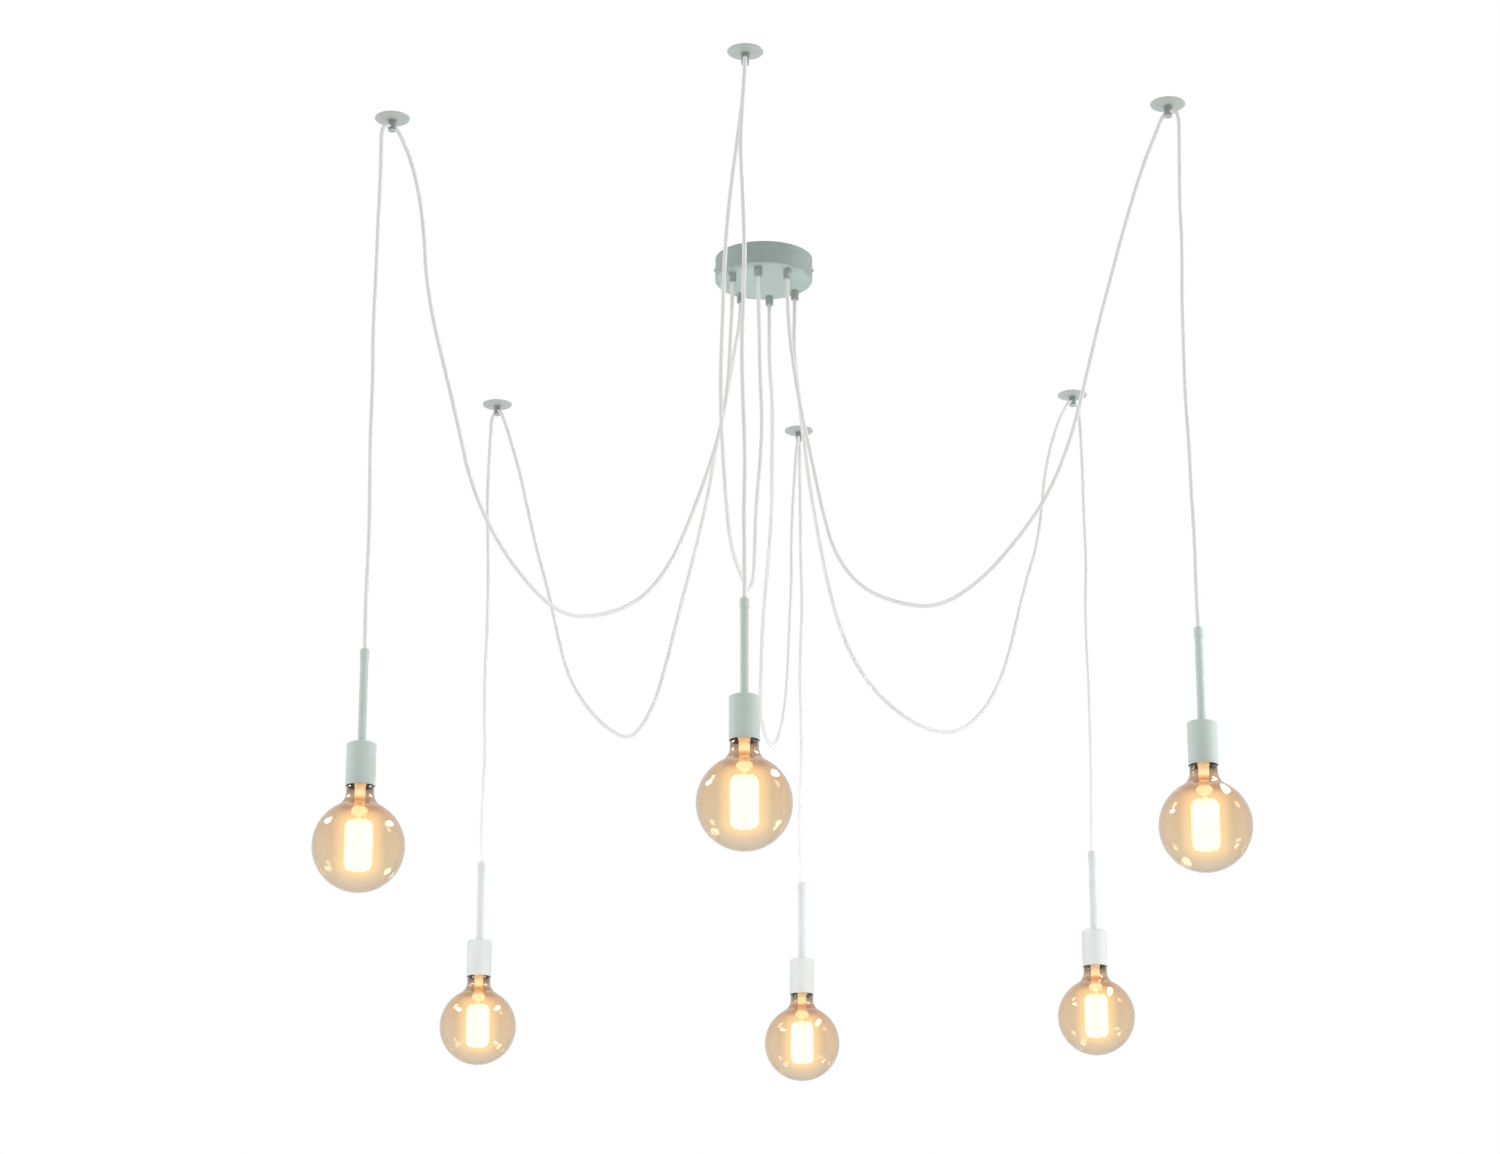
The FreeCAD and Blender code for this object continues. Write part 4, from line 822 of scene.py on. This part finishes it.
def makeSleeveMesh(name):
    s = glowSettings[name]
    edge, low, high = s["edge"], s["low"], s["high"]
    line = [(0, low), *arcPoints((s["radius"] - edge, low + edge), edge, -90, 0, 6),
            *arcPoints((s["radius"] - edge, high - edge), edge, 0, 90, 6), (0, high)]
    mesh = turnedMesh(name, line, sleeveSteps)
    mesh.transform(globeMiddle)
    return mesh


def makeGlowMaterial(name):
    s = glowSettings[name]
    material, tree, shader = newMaterial(name)
    tree.nodes.remove(shader)
    out = next(node for node in tree.nodes if node.type == "OUTPUT_MATERIAL")
    fade = addMath(tree, "POWER", addMath(tree, "SUBTRACT", 1.0, addFacing(tree)), s["power"])
    flicker = mapRange(tree, addNoise(tree, glowNoise["scale"], 1.0),
                       target=(s["cover"] * glowNoise["share"], s["cover"]))
    clear = addNode(tree, "ShaderNodeBsdfTransparent")
    light = addNode(tree, "ShaderNodeEmission", {
        "Color": (*s["colour"], 1), "Strength": s["strength"]})
    mix = addNode(tree, "ShaderNodeMixShader", {
        0: addMath(tree, "MULTIPLY", fade, flicker), 1: clear.outputs[0], 2: light.outputs[0]})
    setInputs(tree, out, {"Surface": mix.outputs[0]})
    return material


for name in glowSettings:
    materials[name] = makeGlowMaterial(name)


# Filament wire: white hot, with a slight unevenness
hotSettings = {"base": (0.3, 0.25, 0.2), "colour": (1.0, 0.78, 0.45), "dim": 0.85,
               "strength": 14.0, "noise": 250.0}


def makeHotMaterial():
    s = hotSettings
    material, tree, shader = newMaterial("filament")
    dim = [channel * s["dim"] for channel in s["colour"]]
    setInputs(tree, shader, {
        "Base Color": (*s["base"], 1), "Roughness": 0.5, "Emission Strength": s["strength"],
        "Emission Color": addRamp(tree, addNoise(tree, s["noise"], 2.0),
                                  [(0.0, dim), (1.0, s["colour"])])})
    return material


materials["filament"] = makeHotMaterial()


# Stem glass, lit through by the filament: its glow follows the height, in metres from the middle
# of the globe, with its colour and strength
stemGlow = [(-0.034, (1.0, 0.80, 0.45), 0.8), (0.034, (1.0, 0.80, 0.45), 0.8),
            (0.037, (1.0, 0.62, 0.26), 0.25), (0.0445, (1.0, 0.66, 0.32), 0.3),
            (0.0468, (1.0, 0.88, 0.66), 0.65), (0.0512, (1.0, 0.88, 0.66), 0.65),
            (0.0532, (1.0, 0.60, 0.26), 0.25), (0.0575, (1.0, 0.60, 0.26), 0.3),
            (0.068, (1.0, 0.74, 0.44), 0.6), (0.071, (1.0, 0.80, 0.50), 0.75),
            (0.080, (1.0, 0.84, 0.55), 0.85), (0.0905, (1.0, 0.84, 0.55), 0.7)]
stemLook = {"rim": (0.85, 0.58, 0.32), "rimFrom": (0.15, 0.85), "streak": 90.0,
            "streakTone": (0.75, 1.15), "base": (0.95, 0.93, 0.88), "strength": 2.0}


def makeStemMaterial():
    s, low, high = stemLook, stemSettings["discLow"], stemSettings["flareTop"]
    material, tree, shader = newMaterial("stemGlass")
    stops = [(max((height - low) / (high - low), 0.0),
              [channel * strength / s["strength"] for channel in colour])
             for height, colour, strength in stemGlow]
    glow = addRamp(tree, addHeight(tree), stops)
    streak = mapRange(tree, addNoise(tree, s["streak"], 2.0), target=s["streakTone"])
    rim = mixColours(tree, (1, 1, 1, 1), (*s["rim"], 1),
                     mapRange(tree, addFacing(tree), s["rimFrom"]))
    streaked = mixColours(tree, glow, streak, blend="MULTIPLY")
    setInputs(tree, shader, {
        "Base Color": (*s["base"], 1), "Roughness": 0.08, "Transmission Weight": 0.6,
        "IOR": 1.45, "Emission Strength": s["strength"],
        "Emission Color": mixColours(tree, streaked, rim, blend="MULTIPLY")})
    return material


materials["stemGlass"] = makeStemMaterial()


# Amber glass: clear, tinted more deeply at its edges, with a faint waviness from the blowing. The
# tints follow the height in metres from the middle of the globe, and their darker bands at the
# shoulder and towards the neck are painted shade.
amberTintsAndNeckShade = [(-0.0625, (0.88, 0.79, 0.67)), (-0.035, (0.86, 0.75, 0.60)),
              (0.0, (0.85, 0.73, 0.58)), (0.035, (0.86, 0.70, 0.52)), (0.052, (0.85, 0.62, 0.42)),
              (0.0575, (0.56, 0.36, 0.22)), (0.0600, (0.56, 0.36, 0.22)),
              (0.0655, (0.82, 0.65, 0.49)), (0.071, (0.66, 0.56, 0.46)),
              (0.0755, (0.52, 0.43, 0.34)), (0.0805, (0.46, 0.37, 0.29))]
amberSettings = {"edge": (0.50, 0.42, 0.34), "edgeFrom": (0.42, 0.93), "edgeShare": (0.0, 0.82),
                 "waveScale": 14.0, "waveStrength": 0.035, "waveDepth": 0.001}


def makeAmberMaterial():
    s, bottom = amberSettings, -globeSettings["radius"]
    top = globeSettings["shoulder"] - globeSettings["middle"]
    material, tree, shader = newMaterial("amberGlass")
    tint = addRamp(tree, addHeight(tree), [((height - bottom) / (top - bottom), colour)
                                           for height, colour in amberTintsAndNeckShade])
    deep = mapRange(tree, addFacing(tree), s["edgeFrom"], s["edgeShare"])
    wave = addNoise(tree, s["waveScale"], 1.0)
    setInputs(tree, shader, {
        "Base Color": mixColours(tree, tint, (*s["edge"], 1), deep),
        "Normal": addBump(tree, wave, s["waveStrength"], s["waveDepth"]),
        "Roughness": 0.0, "Transmission Weight": 1.0, "IOR": 1.47})
    return material


materials["amberGlass"] = makeAmberMaterial()
print("bulb materials made")


# The glass disc and the solder button at the top of the cap: lines of radius and height, and sides
capEnds = {
    "insulator": ([(0, -0.1669), (0.008, -0.1669), (0.008, -0.1645), (0.0072, -0.1637),
                   (0.0056, -0.1624), (0.0046, -0.1622), (0, -0.1622)], 40),
    "button": ([(0, -0.1622), (0.0046, -0.1622), (0.0045, -0.1617), (0.0036, -0.1612),
                (0.002, -0.1611), (0, -0.1611)], 32)}


# The bulb, made once about its lamp's axis and hung six times
def makeBulbs():
    coil = grown("coil", makeFilamentTree(), "filament", filamentSettings)
    coil.transform(globeMiddle)
    print("coil triangles", sum(len(face.vertices) - 2 for face in coil.polygons))
    insulator, button = [turnedMesh(name, *shape) for name, shape in capEnds.items()]
    parts = {"globe": (makeGlobeMesh(), "amberGlass"), "cap": (makeCapMesh(), "capShell"),
             "insulator": (insulator, "capGlass"), "button": (button, "solder"),
             "stem": (makeStemMesh(), "stemGlass"), "supports": (makeSupportMesh(), "supportWire"),
             "filament": (coil, "filament"), "glow": (makeSleeveMesh("glowSleeve"), "glowSleeve"),
             "halo": (makeSleeveMesh("glowHalo"), "glowHalo")}
    for letter in letters:
        for name, (mesh, finish) in parts.items():
            slot, part = ("amber_glass", "glass") if name == "globe" else ("bulb_stem", "core")
            addPiece(f"{name}_{letter}", hung(name, mesh, letter), f"bulb_{letter}", finish,
                     f"bulb_{part}_{letter}")


makeBulbs()
print("bulbs hung")


# Materials of the carried-over parts. The darker lacquers on the canopy, its screws, the glands,
# the hooks and the clamp bodies carry painted shade.
nodeMaterials = {"canopy_cup": "canopyLacquerPaintedShade", "mounting_strap": "zincPlate",
                 "canopy_screws": "canopyLacquerPaintedShade", "terminal_block": "nylonBlock",
                 "cord_glands": "glandLacquerPaintedShade", "gland_lock_nuts": "zincPlate",
                 "gland_clamp_screws": "zincPlate", "hook_rosettes": "hookLacquerPaintedShade",
                 "hook_clamp_bodies": "clampLacquerPaintedShade", "hook_clamp_caps": "hookLacquerPaintedShade"}
for letter in letters:
    nodeMaterials[f"cord_grip_{letter}"] = lampFinish(letter)
    nodeMaterials[f"stem_tube_{letter}"] = lampFinish(letter)
    nodeMaterials[f"holder_insert_{letter}"] = "mouldedInsert"
for name, finish in nodeMaterials.items():
    for slot in nodes[name].material_slots:
        slot.material = materials[finish]
print("parts finished")


# Studio: a pale floor, a plain white surround and soft lamps. The windows light the pieces, and
# the marks are the two bright panels that the glass mirrors: place, width, height and power. The
# fills light the pieces, but no glass or gloss shows them: place, target, width, height, power
# and spread.
studioSettings = {
    "floor": -2.5, "floorSize": 12.0, "aim": (0, 0, -1.0),
    "level": (0.65, 0.86), "depth": (-0.9, 0.5), "paint": (0.86, 0.84), "gloss": (0.6, 0.7),
    "windows": [((-5.9, 1.1, 4.0), 1.7, 1.7, 75.0), ((6.7, 0.1, 3.3), 1.9, 1.6, 45.0)],
    "marks": [((-2.15, -0.03, 0.37), 1.0, 0.38, 10.0), ((1.62, 0.27, 0.86), 1.7, 0.5, 18.0)],
    "fills": [((-1.5, -0.62, -0.85), (0, -0.62, -0.85), 0.4, 0.9, 0.20, 50),
              ((-1.5, 0.66, -0.85), (0, 0.66, -0.85), 0.4, 0.9, 0.32, 50),
              ((1.5, -0.62, -0.64), (0, -0.62, -0.64), 0.4, 1.3, 1.00, 50),
              ((1.5, 0.62, -0.66), (0, 0.62, -0.66), 0.4, 1.3, 1.10, 50),
              ((0.0, -0.20, -1.15), (0.05, 2.00, -0.90), 1.5, 0.3, 1.5, 80),
              ((0.0, 0.0, -2.45), (0, 0, 0), 0.2, 0.2, 0.19, 14),
              ((0.0, 0.0, -2.46), (0, 0, 0), 2.0, 2.0, 5.5, 180)]}


def aimLamp(name, place, target, width, height, power, shape="ELLIPSE"):
    data = bpy.data.lights.new(name, "AREA")
    data.shape = shape
    data.size, data.size_y, data.energy = width, height, power
    lamp = bpy.data.objects.new(name, data)
    scene.collection.objects.link(lamp)
    lamp.location = place
    lamp.rotation_euler = (Vector(target) - Vector(place)).to_track_quat("-Z", "Y").to_euler()
    lamp.visible_camera = False
    return lamp


def makeStudio():
    s = studioSettings
    world = bpy.data.worlds.new("studio")
    scene.world = world
    world.use_nodes = True
    tree = world.node_tree
    tree.nodes.clear()
    place = addNode(tree, "ShaderNodeTexCoord")
    split = addNode(tree, "ShaderNodeSeparateXYZ", {0: place.outputs["Generated"]})
    depth = mapRange(tree, split.outputs["Y"], s["depth"], s["level"])
    path = addNode(tree, "ShaderNodeLightPath").outputs
    seen = addMath(tree, "MAXIMUM", path["Is Camera Ray"], path["Is Transmission Ray"])
    level = addNode(tree, "ShaderNodeMix", {"Factor": seen, "A": depth, "B": 1.0},
                    data_type="FLOAT")
    back = addNode(tree, "ShaderNodeBackground", {
        "Color": (1, 1, 1, 1), "Strength": level.outputs["Result"]})
    addNode(tree, "ShaderNodeOutputWorld", {"Surface": back.outputs[0]})

    half = s["floorSize"] / 2
    data = bpy.data.meshes.new("floor")
    corners = ((-half, -half), (half, -half), (half, half), (-half, half))
    data.from_pydata([(x, y, s["floor"]) for x, y in corners], [], [(0, 1, 2, 3)])
    floor = bpy.data.objects.new("floor", data)
    scene.collection.objects.link(floor)
    pale, dark = [(tone, tone, tone) for tone in s["paint"]]
    data.materials.append(skinMaterial("floorPaint", pale, dark, s["gloss"], peelScale=30.0,
                                       cloudScale=2.0))
    for number, (spot, *values) in enumerate(s["windows"]):
        aimLamp(f"window_{number}", spot, s["aim"], *values).visible_glossy = False
    for number, (spot, *values) in enumerate(s["marks"]):
        aimLamp(f"mark_{number}", spot, s["aim"], *values).visible_diffuse = False
    for number, (*values, spread) in enumerate(s["fills"]):
        fill = aimLamp(f"fill_{number}", *values, "RECTANGLE")
        fill.data.spread = math.radians(spread)
        fill.visible_glossy = False
        fill.visible_transmission = False


makeStudio()
print("studio lit")
